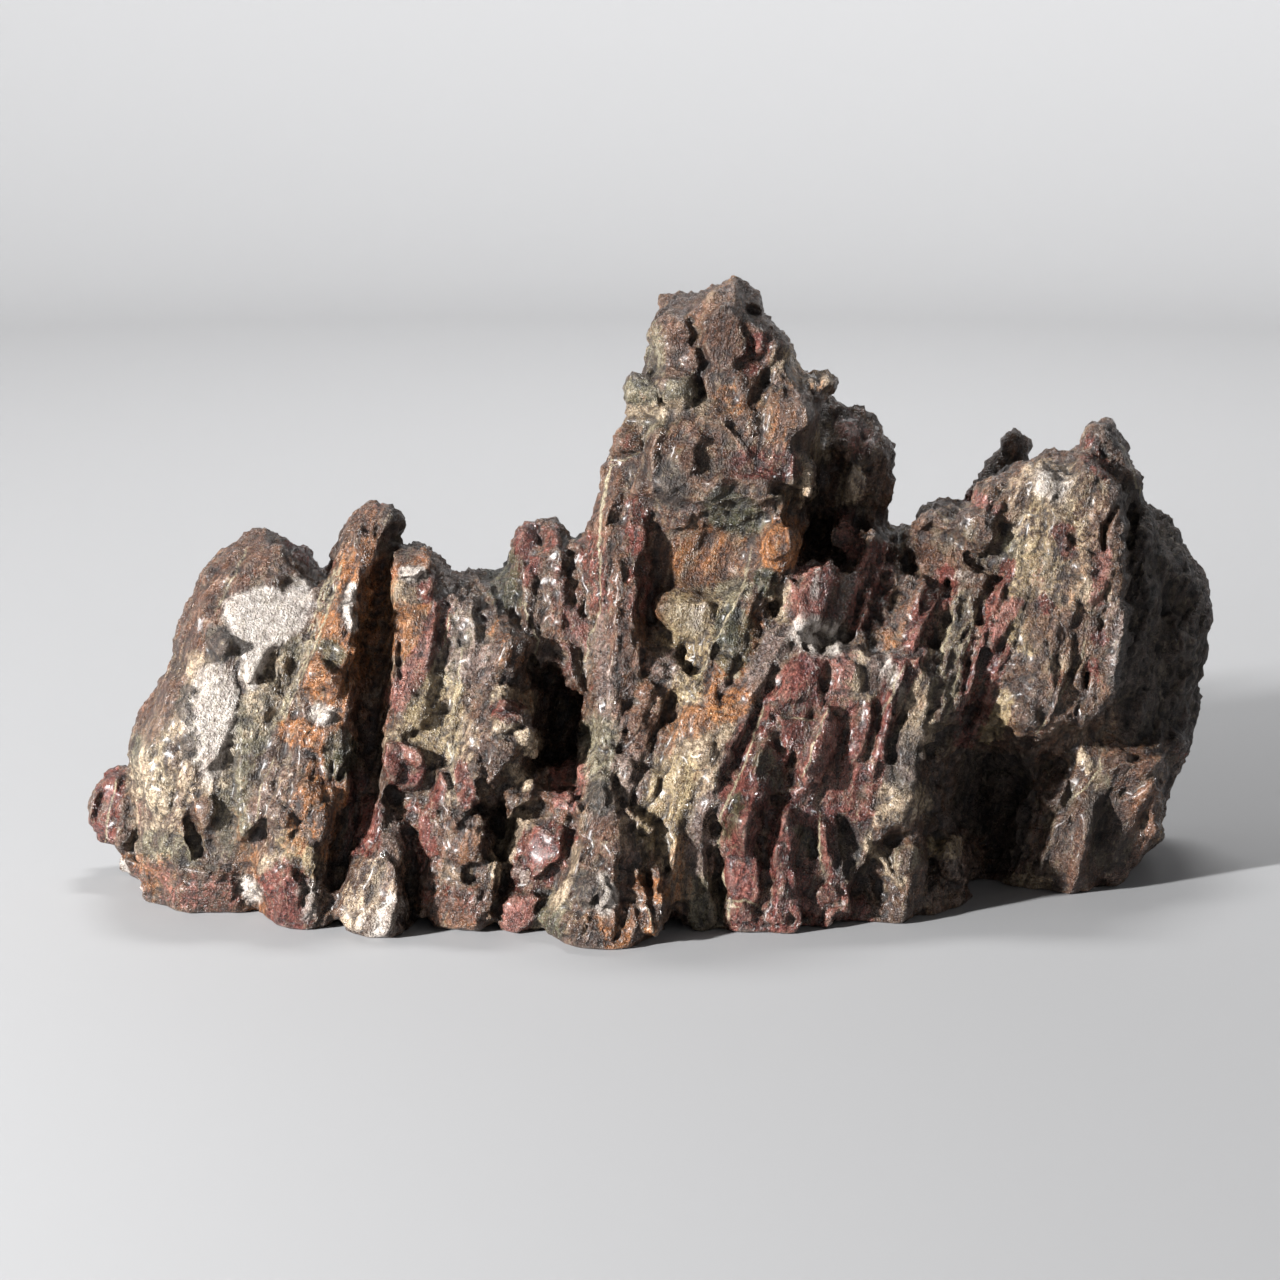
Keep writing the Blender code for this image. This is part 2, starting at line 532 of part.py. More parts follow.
def rock_body():
    """The slabs and lumps melted together, with the clefts, caves and scoops cut out."""
    rock = bmesh.new()
    for stations in (*RIBS.values(), *WALL.values(), *BACK_RIBS.values()):
        add_slab(rock, stations)
    for lump in LUMPS.values():
        add_lump(rock, *lump)
    body = object_from(rock, "body")
    fuse(body, "Melt", MELT_VOXEL)
    hollow = bmesh.new()
    for stations in CLEFTS.values():
        add_cleft(hollow, stations)
    for scoop in SCOOPS.values():
        add_lump(hollow, *scoop)
    cutter = object_from(hollow, "clefts")
    fuse(cutter, "Melt", MELT_VOXEL)
    subtract(body, cutter, "Clefts")
    fuse(body, "Even", EVEN_VOXEL)
    mesh = settled(body)
    bpy.data.objects.remove(cutter)
    return mesh


def weather(mesh):
    """Moves each point along its normal by noise drawn out along the leaning strata."""
    points = points_of(mesh, "co")
    normals = points_of(mesh, "normal")
    cos, sin = math.cos(STRATA_LEAN), math.sin(STRATA_LEAN)
    x, y, z = points.T
    strata = np.stack([x * cos - z * sin, y, x * sin + z * cos], axis=1)
    shift = np.zeros(len(points))
    for number, (wide, deep, long, height, creased) in enumerate(WEATHERING):
        places = strata / (wide, deep, long) + (0.0, NOISE_GAP * number, 0.0)
        value = np.array([noise.noise(place) for place in places])
        shift += height * (CREASE_LIFT - CREASE_DEPTH * abs(value) if creased else SWELL * value)
    mesh.vertices.foreach_set("co", (points + normals * shift[:, None]).ravel())
    mesh.update()


def floor_block():
    """Everything under the floor level, to cut the feet flat."""
    block = bmesh.new()
    shape = Matrix.Translation((0, 0, -FLOOR_BLOCK.z / 2)) @ Matrix.Diagonal((*FLOOR_BLOCK, 1))
    bmesh.ops.create_cube(block, size=1.0, matrix=shape)
    return object_from(block, "floor_cut")


def stone_material():
    material = bpy.data.materials.new("stone")
    material.use_nodes = True
    shader = material.node_tree.nodes["Principled BSDF"]
    shader.inputs["Base Color"].default_value = STONE_COLOUR
    shader.inputs["Roughness"].default_value = STONE_ROUGHNESS
    shader.inputs["Metallic"].default_value = 0.0
    return material


def set_on_its_feet(mesh):
    """The skin in fewer triangles, its feet cut flat, centred over the origin and at its real size."""
    stone = bpy.data.objects.new("stone", mesh)
    bpy.context.scene.collection.objects.link(stone)
    triangles = sum(len(face.vertices) - 2 for face in mesh.polygons)
    fewer = stone.modifiers.new("Fewer", "DECIMATE")
    fewer.ratio = TRIANGLES / triangles
    cutter = floor_block()
    subtract(stone, cutter, "Feet")
    mesh = settled(stone)
    bpy.data.objects.remove(cutter)
    points = points_of(mesh, "co")
    low, high = points.min(axis=0), points.max(axis=0)
    middle = (low + high) / 2
    scale = STONE_LENGTH / (high[0] - low[0])
    print("laid out", np.round(high - low, 1), "mm,", end=" ")
    print("middle at", np.round(middle, 2), "mm, scale", round(scale, 7))
    mesh.transform(Matrix.Scale(scale, 4) @ Matrix.Translation((-middle[0], -middle[1], 0)))
    return mesh


def main():
    for obj in list(bpy.data.objects):
        bpy.data.objects.remove(obj)
    mesh = rock_body()
    weather(mesh)
    mesh = set_on_its_feet(mesh)
    mesh.materials.clear()
    mesh.materials.append(stone_material())
    stone = bpy.data.objects.new("stone", mesh)
    bpy.context.scene.collection.objects.link(stone)


main()
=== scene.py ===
import bmesh
import bpy
import numpy as np
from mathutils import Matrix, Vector


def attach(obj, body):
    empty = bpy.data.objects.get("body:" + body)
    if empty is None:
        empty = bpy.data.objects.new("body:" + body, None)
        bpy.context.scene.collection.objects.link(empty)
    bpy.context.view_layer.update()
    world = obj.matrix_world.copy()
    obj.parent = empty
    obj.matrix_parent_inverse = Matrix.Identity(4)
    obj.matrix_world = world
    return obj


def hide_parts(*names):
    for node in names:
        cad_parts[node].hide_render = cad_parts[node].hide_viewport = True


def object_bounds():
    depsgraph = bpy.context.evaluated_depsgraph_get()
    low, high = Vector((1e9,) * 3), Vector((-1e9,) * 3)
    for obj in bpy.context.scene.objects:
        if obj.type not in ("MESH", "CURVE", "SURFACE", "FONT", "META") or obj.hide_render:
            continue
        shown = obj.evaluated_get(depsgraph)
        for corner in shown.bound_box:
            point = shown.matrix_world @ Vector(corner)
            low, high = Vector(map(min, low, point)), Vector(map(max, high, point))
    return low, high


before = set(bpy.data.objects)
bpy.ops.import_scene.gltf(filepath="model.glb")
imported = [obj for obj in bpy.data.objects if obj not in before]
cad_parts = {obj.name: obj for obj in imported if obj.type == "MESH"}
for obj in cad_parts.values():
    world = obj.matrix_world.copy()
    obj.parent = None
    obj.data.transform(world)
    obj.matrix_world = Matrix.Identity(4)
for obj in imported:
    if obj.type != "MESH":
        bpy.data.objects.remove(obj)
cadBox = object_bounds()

# The camera, in metres, and its square frame in pixels. Forms and minerals are placed as seen in this frame.
camera = {
    "eye": (-0.00292, -0.93841, 0.26724),
    "aim": (-0.00292, -0.01181, 0.07029),
    "lens": 100.0,
    "sensor": 36.0,
    "framePixels": 1280,
}

# How fine the rock's skin is, in millimetres, and how it is worked
rock = {
    "weld": 0.01,              # how close the rough solid's points are joined
    "firstSkin": 0.8,          # size of the squares that the rough solid is melted into
    "skinStep": 0.55,          # and of those that take the relief
    "meltPasses": 10,          # smoothing that takes away the flat faces of the rough solid
    "meltStrength": 0.6,
    "calmPasses": 8,           # how far the directions that the relief follows are evened out
    "triangles": 197000,       # in all, and how many of them face away from the front
    "trianglesBehind": 66000,
    "strataLean": 16.0,        # degrees that the strata lean to the right
    "strataWander": 4.0,       # millimetres that they bend to and fro
    "wanderSizes": (46, 60, 38),
    "wanderSeed": 5,
    "formStrength": 1.15,      # how far the raised forms of the front are driven
    "sunkStrength": 0.85,      # and its sunk ones
    "formVary": 0.35,          # how much they rise and fall along their length
    "formVarySize": 7,
    "formVarySeed": 35,
    "formLimits": (-8.0, 20.0),  # deepest and highest that they add up to
    "formFade": (0.02, 0.4),   # how squarely the skin faces the eye where forms come in
    "frontCrags": 0.7,         # how much of the largest crags the front goes without
    "fieldNear": 3.0,          # how far round a relief field its points are sought
    "fieldEdge": (-1.5, 2.0),  # millimetres inside its outline over which it comes in
    "fieldFade": (-0.1, 0.2),  # how squarely the skin faces the eye where relief fields come in
    "calmNear": 6.0,           # how far round a form its points are sought to hold the relief back
    "calmFade": (0.0, 0.3),    # how squarely the skin faces the eye where that comes in
    "cragsFade": (-0.1, 0.3),  # and where the largest crags go
    "floorBlend": 2.0,         # height over which the relief comes in above the flat underside
    "edgeRoom": 0.35,          # how softly the skin stops at the solid's own box
}

# How the outlines of forms and minerals are roughened: pixels to and fro, and the size of the roughness in pixels
frontWindow = {"ragged": (3.4, 20.0), "frayed": (2.0, 6.0), "seedAcross": 31, "seedDown": 33}

# Cosine between a point's normal and the way to the eye below which the point belongs to the back
turnedAway = -0.1

# Places where the outline is pulled in or out: from a pixel, to a pixel, and over how many pixels
nudges = {
    "shoulderTop": ((298, 533), (294, 546), 14),
    "shoulderEdgeA": ((186, 602), (191, 602), 24),
    "shoulderEdgeB": ((160, 650), (171, 650), 26),
    "shoulderEdgeC": ((146, 676), (159, 676), 24),
    "shoulderEdgeD": ((138, 704), (146, 702), 24),
    "plinthEdgeA": ((131, 862), (120, 864), 15),
    "plinthEdgeB": ((136, 886), (128, 884), 13),
    "finTip": ((400, 528), (406, 530), 12),
    "toothGap": ((574, 524), (574, 536), 11),
    "headLeft": ((656, 335), (649, 335), 18),
    "headLeftTop": ((672, 303), (663, 300), 14),
    "headRight": ((776, 312), (770, 315), 14),
    "lip": ((832, 372), (839, 379), 12),
    "shoulderDip": ((812, 364), (812, 370), 10),
    "buttressA": ((886, 448), (893, 447), 20),
    "buttressB": ((886, 490), (892, 489), 16),
    "saddleRight": ((908, 508), (912, 521), 13),
    "backHornTop": ((1012, 442), (1014, 432), 12),
    "backHornSide": ((1022, 450), (1029, 446), 9),
    "hornRight": ((1129, 480), (1139, 478), 15),
    "flankTop": ((1185, 535), (1176, 531), 16),
    "flankLow": ((1150, 840), (1164, 838), 18),
}

# Places where the finer relief is weaker or stronger: its share, outline
reliefFields = [
    (0.6, [(128, 780), (150, 700), (200, 590), (250, 548), (306, 566), (314, 610), (290, 690), (258, 780),
    (238, 880), (150, 856)]),
    (0.7, [(386, 560), (440, 580), (480, 620), (484, 760), (440, 800), (400, 740), (386, 680)]),
    (0.7, [(1036, 770), (1165, 755), (1160, 850), (1110, 886), (1036, 886)]),
    (0.5, [(780, 650), (880, 650), (930, 650), (920, 830), (850, 920), (770, 920), (720, 900), (730, 800)]),
    (0.45, [(655, 300), (700, 285), (760, 288), (800, 335), (790, 372), (700, 400), (655, 372)]),
    (0.25, [(656, 530), (742, 526), (748, 540), (744, 590), (716, 600), (716, 640), (658, 640)]),
    (0.55, [(222, 600), (310, 590), (310, 620), (250, 670), (236, 740), (210, 775), (190, 740), (200, 660)]),
    (0.50, [(616, 430), (650, 405), (700, 405), (830, 390), (830, 470), (800, 500), (650, 508), (622, 470)]),
    (0.75, [(1010, 500), (1080, 470), (1120, 520), (1120, 660), (1070, 720), (1000, 720), (1020, 640), (1035, 560)]),
    (0.3, [(500, 800), (560, 790), (582, 822), (576, 866), (548, 896), (528, 936), (498, 930), (498, 880)]),
    (0.3, [(372, 740), (390, 730), (425, 738), (434, 765), (424, 794), (400, 802), (382, 790)]),
    (1.3, [(930, 752), (1000, 742), (1080, 750), (1070, 800), (1020, 880), (985, 850), (940, 835)]),
    (1.0, [(1134, 480), (1160, 490), (1215, 590), (1215, 690), (1180, 750), (1140, 745), (1130, 650), (1134, 560)]),
]

# Relief that the front shows. Each form: its kind, its path or outline in pixels of the camera's frame, half width
# or edge in millimetres, height in millimetres, and then where a ridge's crest lies from -1 at its left edge to 1,
# a knob's lean in degrees, a block's slopes in degrees, to the right and downwards, or how far a fill's plane falls
# back for each millimetre to the right (0 keeps the slope of the rock there).
forms = {
    # gaps of the rough solid that are shallow on the stone, filled up to about the level of the rock beside them
    "fillShoulder": ("fill", [(322, 580), (338, 570), (326, 630), (306, 700), (284, 760), (262, 830), (238, 842),
        (234, 800), (236, 740), (242, 694), (262, 650), (288, 612)], 2.0, -0.5, 0.12),
    "fillRibs": ("fill", [(424, 600), (450, 590), (478, 600), (482, 660), (474, 700), (482, 800), (455, 835),
        (432, 800), (436, 700), (424, 650)], 2.0, -1.0, 0),
    "fillRibLeft": ("fill", [(384, 585), (402, 585), (402, 660), (398, 700), (400, 760), (384, 800), (378, 750),
        (382, 670)], 1.5, -1.0, 0),
    "fillHeel": ("fill", [(405, 800), (440, 806), (490, 816), (500, 866), (494, 930), (420, 936), (410, 900)],
        1.5, -1.0, 0),
    "fillFan": ("fill", [(604, 740), (650, 770), (692, 760), (676, 830), (672, 905), (644, 905), (632, 830),
        (618, 800)], 2.0, -1.0, 0.1),
    "fillBrow": ("fill", [(662, 492), (790, 490), (790, 528), (662, 532)], 3.0, -1.0, 0),
    "fillRed": ("fill", [(796, 650), (838, 640), (884, 652), (905, 655), (930, 645), (936, 690), (928, 745),
        (920, 800), (912, 835), (880, 845), (856, 880), (852, 915), (772, 925), (764, 850), (784, 780), (786, 712)],
        2.0, -1.0, 0.1),
    "fillCliff": ("fill", [(1046, 500), (1086, 458), (1122, 482), (1129, 540), (1128, 640), (1116, 700), (1088, 724),
        (1046, 726), (1034, 690), (1036, 600)], 1.6, 0.0, 0.05),
    "fillSlate": ("fill", [(752, 640), (790, 612), (822, 640), (815, 700), (792, 756), (766, 800), (722, 812),
        (702, 790), (708, 740), (726, 690)], 2.0, -0.6, 0),
    "fillPocket": ("fill", [(604, 640), (650, 636), (698, 676), (696, 750), (654, 780), (612, 762)], 2.5, -3.0, 0),
    "fillCheek": ("fill", [(922, 604), (960, 580), (992, 566), (1000, 604), (984, 664), (958, 724), (926, 734),
        (912, 690)], 2.0, -1.5, 0),
    "fillFace": ("fill", [(655, 425), (700, 415), (770, 400), (800, 405), (798, 490), (745, 478), (690, 485),
        (650, 495), (645, 450)], 2.0, -0.6, 0),
    "fillFin": ("fill", [(334, 600), (360, 600), (356, 640), (354, 700), (352, 760), (352, 800), (330, 830),
        (300, 800), (290, 740), (305, 690), (318, 640)], 1.5, -2.5, -0.06),
    "fillLeg": ("fill", [(1084, 772), (1120, 762), (1165, 752), (1166, 800), (1158, 850), (1120, 882), (1084, 882)],
        2.0, 0.0, 0.02),
    "fillRib": ("fill", [(392, 548), (432, 550), (440, 600), (436, 660), (424, 730), (392, 740), (388, 640)],
        2.0, 2.2, 0.04),
    "fillHigh": ("fill", [(846, 596), (860, 562), (884, 552), (904, 572), (946, 572), (942, 640), (905, 660),
        (850, 660)], 2.0, -2.0, 0.1),
    "fillFoot": ("fill", [(572, 800), (612, 792), (656, 826), (668, 900), (664, 938), (562, 934), (574, 870)],
        2.5, -1.5, 0.04),
    "fillCleft": ("fill", [(354, 560), (390, 556), (388, 620), (384, 700), (372, 770), (352, 752), (350, 690),
        (354, 640)], 1.5, -5.0, 0),
    "fillGap": ("fill", [(498, 775), (556, 764), (590, 745), (602, 785), (580, 822), (540, 800), (505, 822)],
        2.0, -1.0, 0.05),
    "fillSkirt": ("fill", [(644, 770), (700, 764), (716, 800), (722, 928), (668, 938), (656, 850)], 2.0, -2.0, 0.08),
    "fillTeeth": ("fill", [(516, 560), (560, 540), (600, 545), (602, 640), (590, 700), (566, 690), (556, 668),
        (536, 672), (520, 640)], 2.0, -3.5, 0.1),
    # left shoulder
    "edgeStrip": ("ridge", [(238, 545), (222, 572), (205, 600), (188, 632)], 2.6, 1.2, 0.2),
    "edgeStripLine": ("groove", [(247, 546), (236, 572), (226, 592), (213, 614)], 0.8, 1.1, 0),
    "capStone": ("block", [(245, 541), (262, 534), (279, 542), (277, 557), (262, 566), (246, 560)],
        0.8, 1.3, (-8, 6)),
    "quartzBoss": ("block", [(222, 602), (240, 594), (262, 586), (290, 592), (312, 602), (304, 624), (285, 640),
        (268, 655), (257, 684), (245, 684), (240, 655), (229, 632)], 2.4, 1.2, (-4, 4)),
    "smokyBoss": ("block", [(283, 580), (305, 576), (314, 590), (308, 606), (288, 600)], 1.0, 0.9, (8, 0)),
    "shoulderKnob": ("knob", [(221, 643)], (3.5, 4.2), 2.6, -10),
    "knobShade": ("groove", [(212, 624), (228, 622), (237, 636), (237, 658)], 0.7, 1.0, 0),
    "smallKnobA": ("knob", [(187, 690)], (1.4, 1.6), 1.0, 0),
    "smallKnobB": ("knob", [(184, 711)], (1.9, 3.0), 1.2, 0),
    "smallKnobC": ("knob", [(190, 748)], (2.1, 3.0), 1.3, 0),
    "lowerQuartz": ("block", [(203, 664), (225, 655), (238, 672), (240, 700), (232, 730), (222, 760), (205, 772),
        (193, 750), (196, 710)], 1.4, 1.0, (-3, 2)),
    "quartzArc": ("ridge", [(208, 684), (224, 675), (237, 686)], 0.8, 0.7, 0),
    "flankRib": ("ridge", [(165, 668), (152, 700), (140, 735), (132, 770)], 3.4, 1.0, 0.2),
    "flankLine": ("groove", [(182, 668), (170, 700), (152, 740)], 0.8, 0.9, 0),
    "shellKnob": ("knob", [(203, 812)], (4.6, 5.0), 2.0, 10),
    "shellShade": ("groove", [(186, 801), (191, 824), (204, 833), (217, 822), (221, 800)], 0.8, 1.4, 0),
    "notch": ("hollow", [(185, 803), (190, 800), (200, 832), (206, 858), (193, 861), (186, 835)], 0.6, 4.5, 0),
    "notchSlab": ("ridge", [(180, 828), (186, 845), (193, 862)], 1.0, 1.6, 0.3),
    "slit": ("groove", [(188, 863), (210, 868), (237, 873)], 0.9, 3.6, 0),
    "plinthLeft": ("block", [(121, 858), (170, 862), (173, 886), (152, 898), (136, 894), (124, 876)],
        0.7, 1.0, (-12, -5)),
    "plinthRight": ("block", [(173, 887), (236, 884), (234, 905), (214, 913), (180, 907)], 0.7, 0.8, (6, -14)),
    "plinthLedge": ("ridge", [(172, 868), (200, 874), (238, 876)], 1.6, 1.2, 0),
    "sagePocket": ("groove", [(150, 745), (152, 760), (162, 768)], 1.2, 1.2, 0),
    "sageKnobA": ("knob", [(168, 758)], (3.0, 3.6), 1.1, 20),
    "sageKnobB": ("knob", [(142, 752)], (2.6, 3.4), 1.0, 0),
    "sageKnobC": ("knob", [(155, 800)], (5.0, 5.5), 1.2, 0),
    "sageKnobD": ("knob", [(186, 775)], (3.0, 4.4), 1.0, 20),
    "sageKnobE": ("knob", [(262, 700)], (5.0, 6.0), 1.0, 15),
    "rearWedge": ("block", [(97, 800), (104, 782), (118, 770), (118, 800), (108, 840), (94, 842), (91, 828)],
        0.8, 0.6, (-14, 0)),
    "wedgeStripe": ("groove", [(121, 782), (117, 812), (108, 845)], 0.6, 0.9, 0),
    # fibres between the shoulder and the fin
    "fibreValley": ("groove", [(330, 566), (318, 600), (306, 640), (290, 682), (272, 724), (258, 764), (243, 804),
        (238, 850)], 3.2, 1.2, 0),
    "fibreA": ("ridge", [(346, 556), (331, 600), (317, 640), (300, 682), (284, 722)], 0.8, 0.9, 0.2),
    "fibreB": ("ridge", [(337, 566), (322, 604), (308, 646), (292, 684), (270, 735)], 0.7, 0.8, 0.2),
    "fibreC": ("ridge", [(328, 574), (315, 610), (301, 650)], 0.6, 0.6, 0),
    # the fin and its belly
    "finBlade": ("block", [(352, 530), (360, 520), (369, 534), (379, 555), (373, 575), (363, 582), (355, 562)],
        0.8, 1.2, (-10, 0)),
    "finShade": ("hollow", [(376, 522), (398, 526), (404, 545), (389, 553), (384, 580), (378, 604), (370, 640),
        (364, 610), (372, 576), (381, 556), (375, 538)], 1.6, 2.2, 0),
    "finVein": ("ridge", [(350, 586), (346, 605), (352, 627)], 1.3, 1.2, 0.3),
    "finVeinShade": ("groove", [(359, 598), (357, 625), (350, 646)], 0.9, 1.7, 0),
    "finFront": ("ridge", [(354, 545), (350, 580), (344, 640), (338, 690), (330, 740)], 5.0, 1.2, 0.5),
    "finKnobA": ("knob", [(331, 628)], (4.0, 4.2), 1.5, 15),
    "finKnobB": ("knob", [(335, 608)], (1.8, 1.9), 1.2, 0),
    "finKnobC": ("knob", [(316, 674)], (5.5, 4.6), 1.8, 20),
    "finKnobD": ("knob", [(338, 688)], (3.6, 5.0), 1.7, 10),
    "finCrackA": ("groove", [(300, 698), (320, 704), (344, 699)], 0.8, 1.3, 0),
    "finKnobE": ("knob", [(322, 716)], (3.0, 2.4), 1.4, 0),
    "finKnobF": ("knob", [(299, 728)], (3.4, 3.0), 1.3, 0),
    "finKnobG": ("knob", [(336, 737)], (3.4, 3.4), 1.4, 0),
    "finCrackB": ("groove", [(308, 745), (320, 760), (324, 790)], 0.8, 1.3, 0),
    "finKnobH": ("knob", [(345, 776)], (3.2, 5.0), 1.6, 10),
    "finKnobI": ("knob", [(309, 790)], (4.0, 5.0), 1.5, 0),
    "finKnobJ": ("knob", [(278, 816)], (3.2, 3.2), 1.8, 0),
    "finPitJ": ("hollow", [(264, 822), (270, 818), (274, 832), (268, 836)], 0.6, 1.6, 0),
    "finKnobK": ("knob", [(326, 822)], (4.6, 6.0), 1.7, 10),
    "finKnobL": ("knob", [(301, 850)], (4.0, 4.0), 1.3, 0),
    "arcA": ("ridge", [(256, 822), (261, 790), (274, 760)], 0.8, 0.8, 0.2),
    "arcB": ("ridge", [(264, 805), (270, 782), (282, 762)], 0.7, 0.7, 0.2),
    "bellyRib": ("ridge", [(290, 760), (268, 800), (252, 840), (250, 870)], 5.0, 1.4, 0.1),
    "finKnobM": ("knob", [(262, 862)], (4.8, 4.2), 1.4, 0),
    "finArcM": ("groove", [(245, 850), (250, 873), (263, 883), (281, 878)], 0.7, 1.1, 0),
    "redToe": ("block", [(272, 880), (292, 872), (304, 888), (306, 905), (300, 925), (275, 920)], 0.8, 1.2, (-6, -6)),
    "redToeCleft": ("groove", [(304, 884), (306, 898), (302, 912)], 1.2, 2.6, 0),
    "redToeKnob": ("knob", [(312, 879)], (2.0, 2.0), 1.2, 0),
    "greyToe": ("block", [(308, 890), (319, 892), (313, 912), (304, 919)], 0.6, 1.1, (12, 0)),
    "paleCrystal": ("block", [(242, 882), (256, 880), (258, 898), (246, 901)], 0.5, 0.9, (-12, 0)),
    "orangeToe": ("knob", [(256, 908)], (3.4, 2.8), 1.0, 0),
    "finCleft": ("hollow", [(386, 552), (392, 550), (388, 582), (384, 622), (385, 662), (381, 702), (377, 742),
        (370, 770), (358, 754), (356, 730), (356, 700), (358, 660), (366, 640), (374, 600)], 2.0, 1.0, 0),
    "redLens": ("block", [(364, 784), (376, 806), (379, 822), (371, 838), (361, 850), (357, 828), (361, 800)],
        0.7, 2.6, (-10, 0)),
    "redSplinter": ("ridge", [(358, 774), (352, 800), (350, 830), (343, 862)], 0.9, 1.6, 0.2),
    # the ochre rib
    "ribCap": ("block", [(389, 549), (402, 543), (425, 546), (433, 557), (431, 573), (400, 578), (390, 570)],
        0.8, 1.2, (-4, 10)),
    "ribCapKnobA": ("knob", [(413, 572)], (2.7, 2.2), 1.1, 0),
    "ribCapKnobB": ("knob", [(429, 586)], (2.1, 2.7), 1.2, 0),
    "ribCapShade": ("groove", [(436, 562), (440, 580), (434, 602)], 1.0, 2.0, 0),
    "ribLine": ("groove", [(387, 602), (410, 604), (433, 601)], 0.6, 1.0, 0),
    "ribBody": ("ridge", [(412, 605), (404, 640), (396, 690), (392, 728)], 6.0, 1.5, 0.1),
    "pinkVein": ("ridge", [(441, 610), (428, 650), (411, 690)], 1.6, 0.6, 0.1),
    "greenVeinA": ("ridge", [(453, 612), (441, 650), (428, 692)], 0.6, 0.7, 0.2),
    "greenVeinB": ("ridge", [(464, 640), (456, 690), (448, 758)], 0.8, 1.0, 0.2),
    "creamBossC": ("knob", [(412, 712)], (5.5, 5.0), 1.3, 20),
    "jasperCrystal": ("block", [(379, 757), (388, 739), (402, 740), (420, 748), (428, 764), (420, 784), (404, 795),
        (390, 786)], 0.7, 2.2, (-6, 2)),
    "crystalLeft": ("block", [(380, 757), (389, 740), (397, 742), (399, 758), (405, 771), (396, 786), (389, 782)],
        0.4, 2.4, (-22, 6)),
    "crystalRight": ("block", [(400, 742), (418, 748), (426, 764), (411, 767), (401, 758)], 0.4, 2.4, (10, 16)),
    "crystalRim": ("ridge", [(376, 762), (378, 750), (387, 734), (402, 733), (424, 742)], 0.7, 1.6, 0),
    "redWedge": ("block", [(446, 768), (448, 792), (438, 812), (422, 806), (431, 785)], 0.6, 1.5, (-6, -4)),
    "footGap": ("hollow", [(404, 838), (412, 845), (417, 880), (419, 928), (404, 934), (402, 890)], 0.9, 3.6, 0),
    "creamFoot": ("block", [(331, 925), (341, 882), (358, 862), (380, 850), (398, 868), (402, 895), (396, 928),
        (384, 940), (352, 932)], 1.2, 0.9, (-4, -2)),
    "footCrest": ("ridge", [(393, 826), (379, 850), (366, 880), (352, 915)], 3.0, 1.5, 0.3),
    "quartzFace": ("block", [(372, 902), (379, 912), (374, 930), (362, 936), (352, 926), (358, 914)],
        0.5, 1.4, (-16, 0)),
    "footKnob": ("knob", [(388, 845)], (3.0, 4.6), 1.2, 10),
    "footKnobB": ("knob", [(386, 918)], (2.6, 3.6), 1.0, 0),
    # the knobbly mass
    "brownBoss": ("knob", [(510, 645)], (7.0, 8.0), 1.8, 0),
    "massShadeA": ("groove", [(477, 610), (486, 630), (488, 652)], 1.3, 2.0, 0),
    "massShadeB": ("groove", [(449, 612), (457, 630), (464, 645)], 1.0, 1.5, 0),
    "massRibA": ("ridge", [(446, 632), (457, 645)], 0.7, 0.9, 0.2),
    "massRibB": ("ridge", [(470, 610), (474, 640), (468, 668)], 2.2, 1.4, 0.2),
    "ledgeLip": ("ridge", [(474, 662), (505, 667), (532, 676)], 1.6, 1.6, 0),
    "ledgeSlit": ("groove", [(476, 672), (503, 681), (533, 690)], 1.2, 1.8, 0),
    "glossRib": ("ridge", [(487, 690), (479, 715), (462, 741)], 0.9, 1.0, 0.2),
    "ringKnob": ("knob", [(468, 767)], (5.0, 5.4), 1.9, 0),
    "ringLine": ("groove", [(462, 738), (451, 752), (449, 776), (457, 798)], 0.7, 1.3, 0),
    "massKnobA": ("knob", [(505, 725)], (3.2, 3.2), 1.7, 0),
    "massKnobB": ("knob", [(511, 751)], (3.4, 3.4), 1.7, 0),
    "massKnobC": ("knob", [(494, 772)], (4.0, 5.0), 1.3, 0),
    "massKnobD": ("knob", [(530, 738)], (2.8, 4.0), 1.6, 15),
    "massKnobE": ("knob", [(508, 705)], (3.0, 1.9), 1.2, 0),
    "massKnobF": ("knob", [(522, 772)], (3.0, 3.4), 1.3, 0),
    "massCrackA": ("groove", [(486, 742), (484, 770), (482, 800)], 0.8, 1.3, 0),
    "massCrackB": ("groove", [(520, 715), (512, 735), (524, 755)], 0.8, 1.4, 0),
    "creamEdge": ("ridge", [(524, 600), (526, 622), (539, 645), (534, 668)], 1.1, 1.6, 0.4),
    "heelKnob": ("knob", [(459, 845)], (7.0, 6.6), 1.9, 0),
    "heelLine": ("groove", [(428, 816), (455, 812), (482, 820)], 1.1, 1.6, 0),
    "heelFacet": ("block", [(414, 822), (420, 806), (438, 812), (441, 850), (428, 862), (415, 846)],
        0.8, 1.2, (-8, 0)),
    "creamLip": ("ridge", [(431, 862), (450, 872), (468, 881)], 1.3, 1.4, 0),
    "heelHollow": ("hollow", [(470, 860), (498, 868), (500, 880), (480, 888), (462, 884)], 1.0, 2.8, 0),
    "toeBlock": ("block", [(420, 895), (445, 888), (468, 900), (480, 925), (460, 941), (438, 934), (421, 925)],
        0.9, 0.9, (0, -6)),
    "toeCrack": ("groove", [(464, 902), (466, 918), (474, 934)], 0.9, 1.6, 0),
    "toeKnob": ("knob", [(478, 906)], (2.0, 4.0), 1.3, 0),
    "massGap": ("hollow", [(484, 818), (498, 800), (512, 806), (500, 840), (497, 862), (486, 860)], 1.2, 3.0, 0),
    # teeth on the saddle, the cave and the faceted jasper
    "toothLeft": ("block", [(517, 552), (524, 531), (541, 527), (540, 545), (533, 558), (527, 575)],
        0.7, 1.1, (-12, 0)),
    "toothMiddle": ("ridge", [(552, 522), (557, 560), (560, 600), (557, 640)], 2.7, 2.2, 0.35),
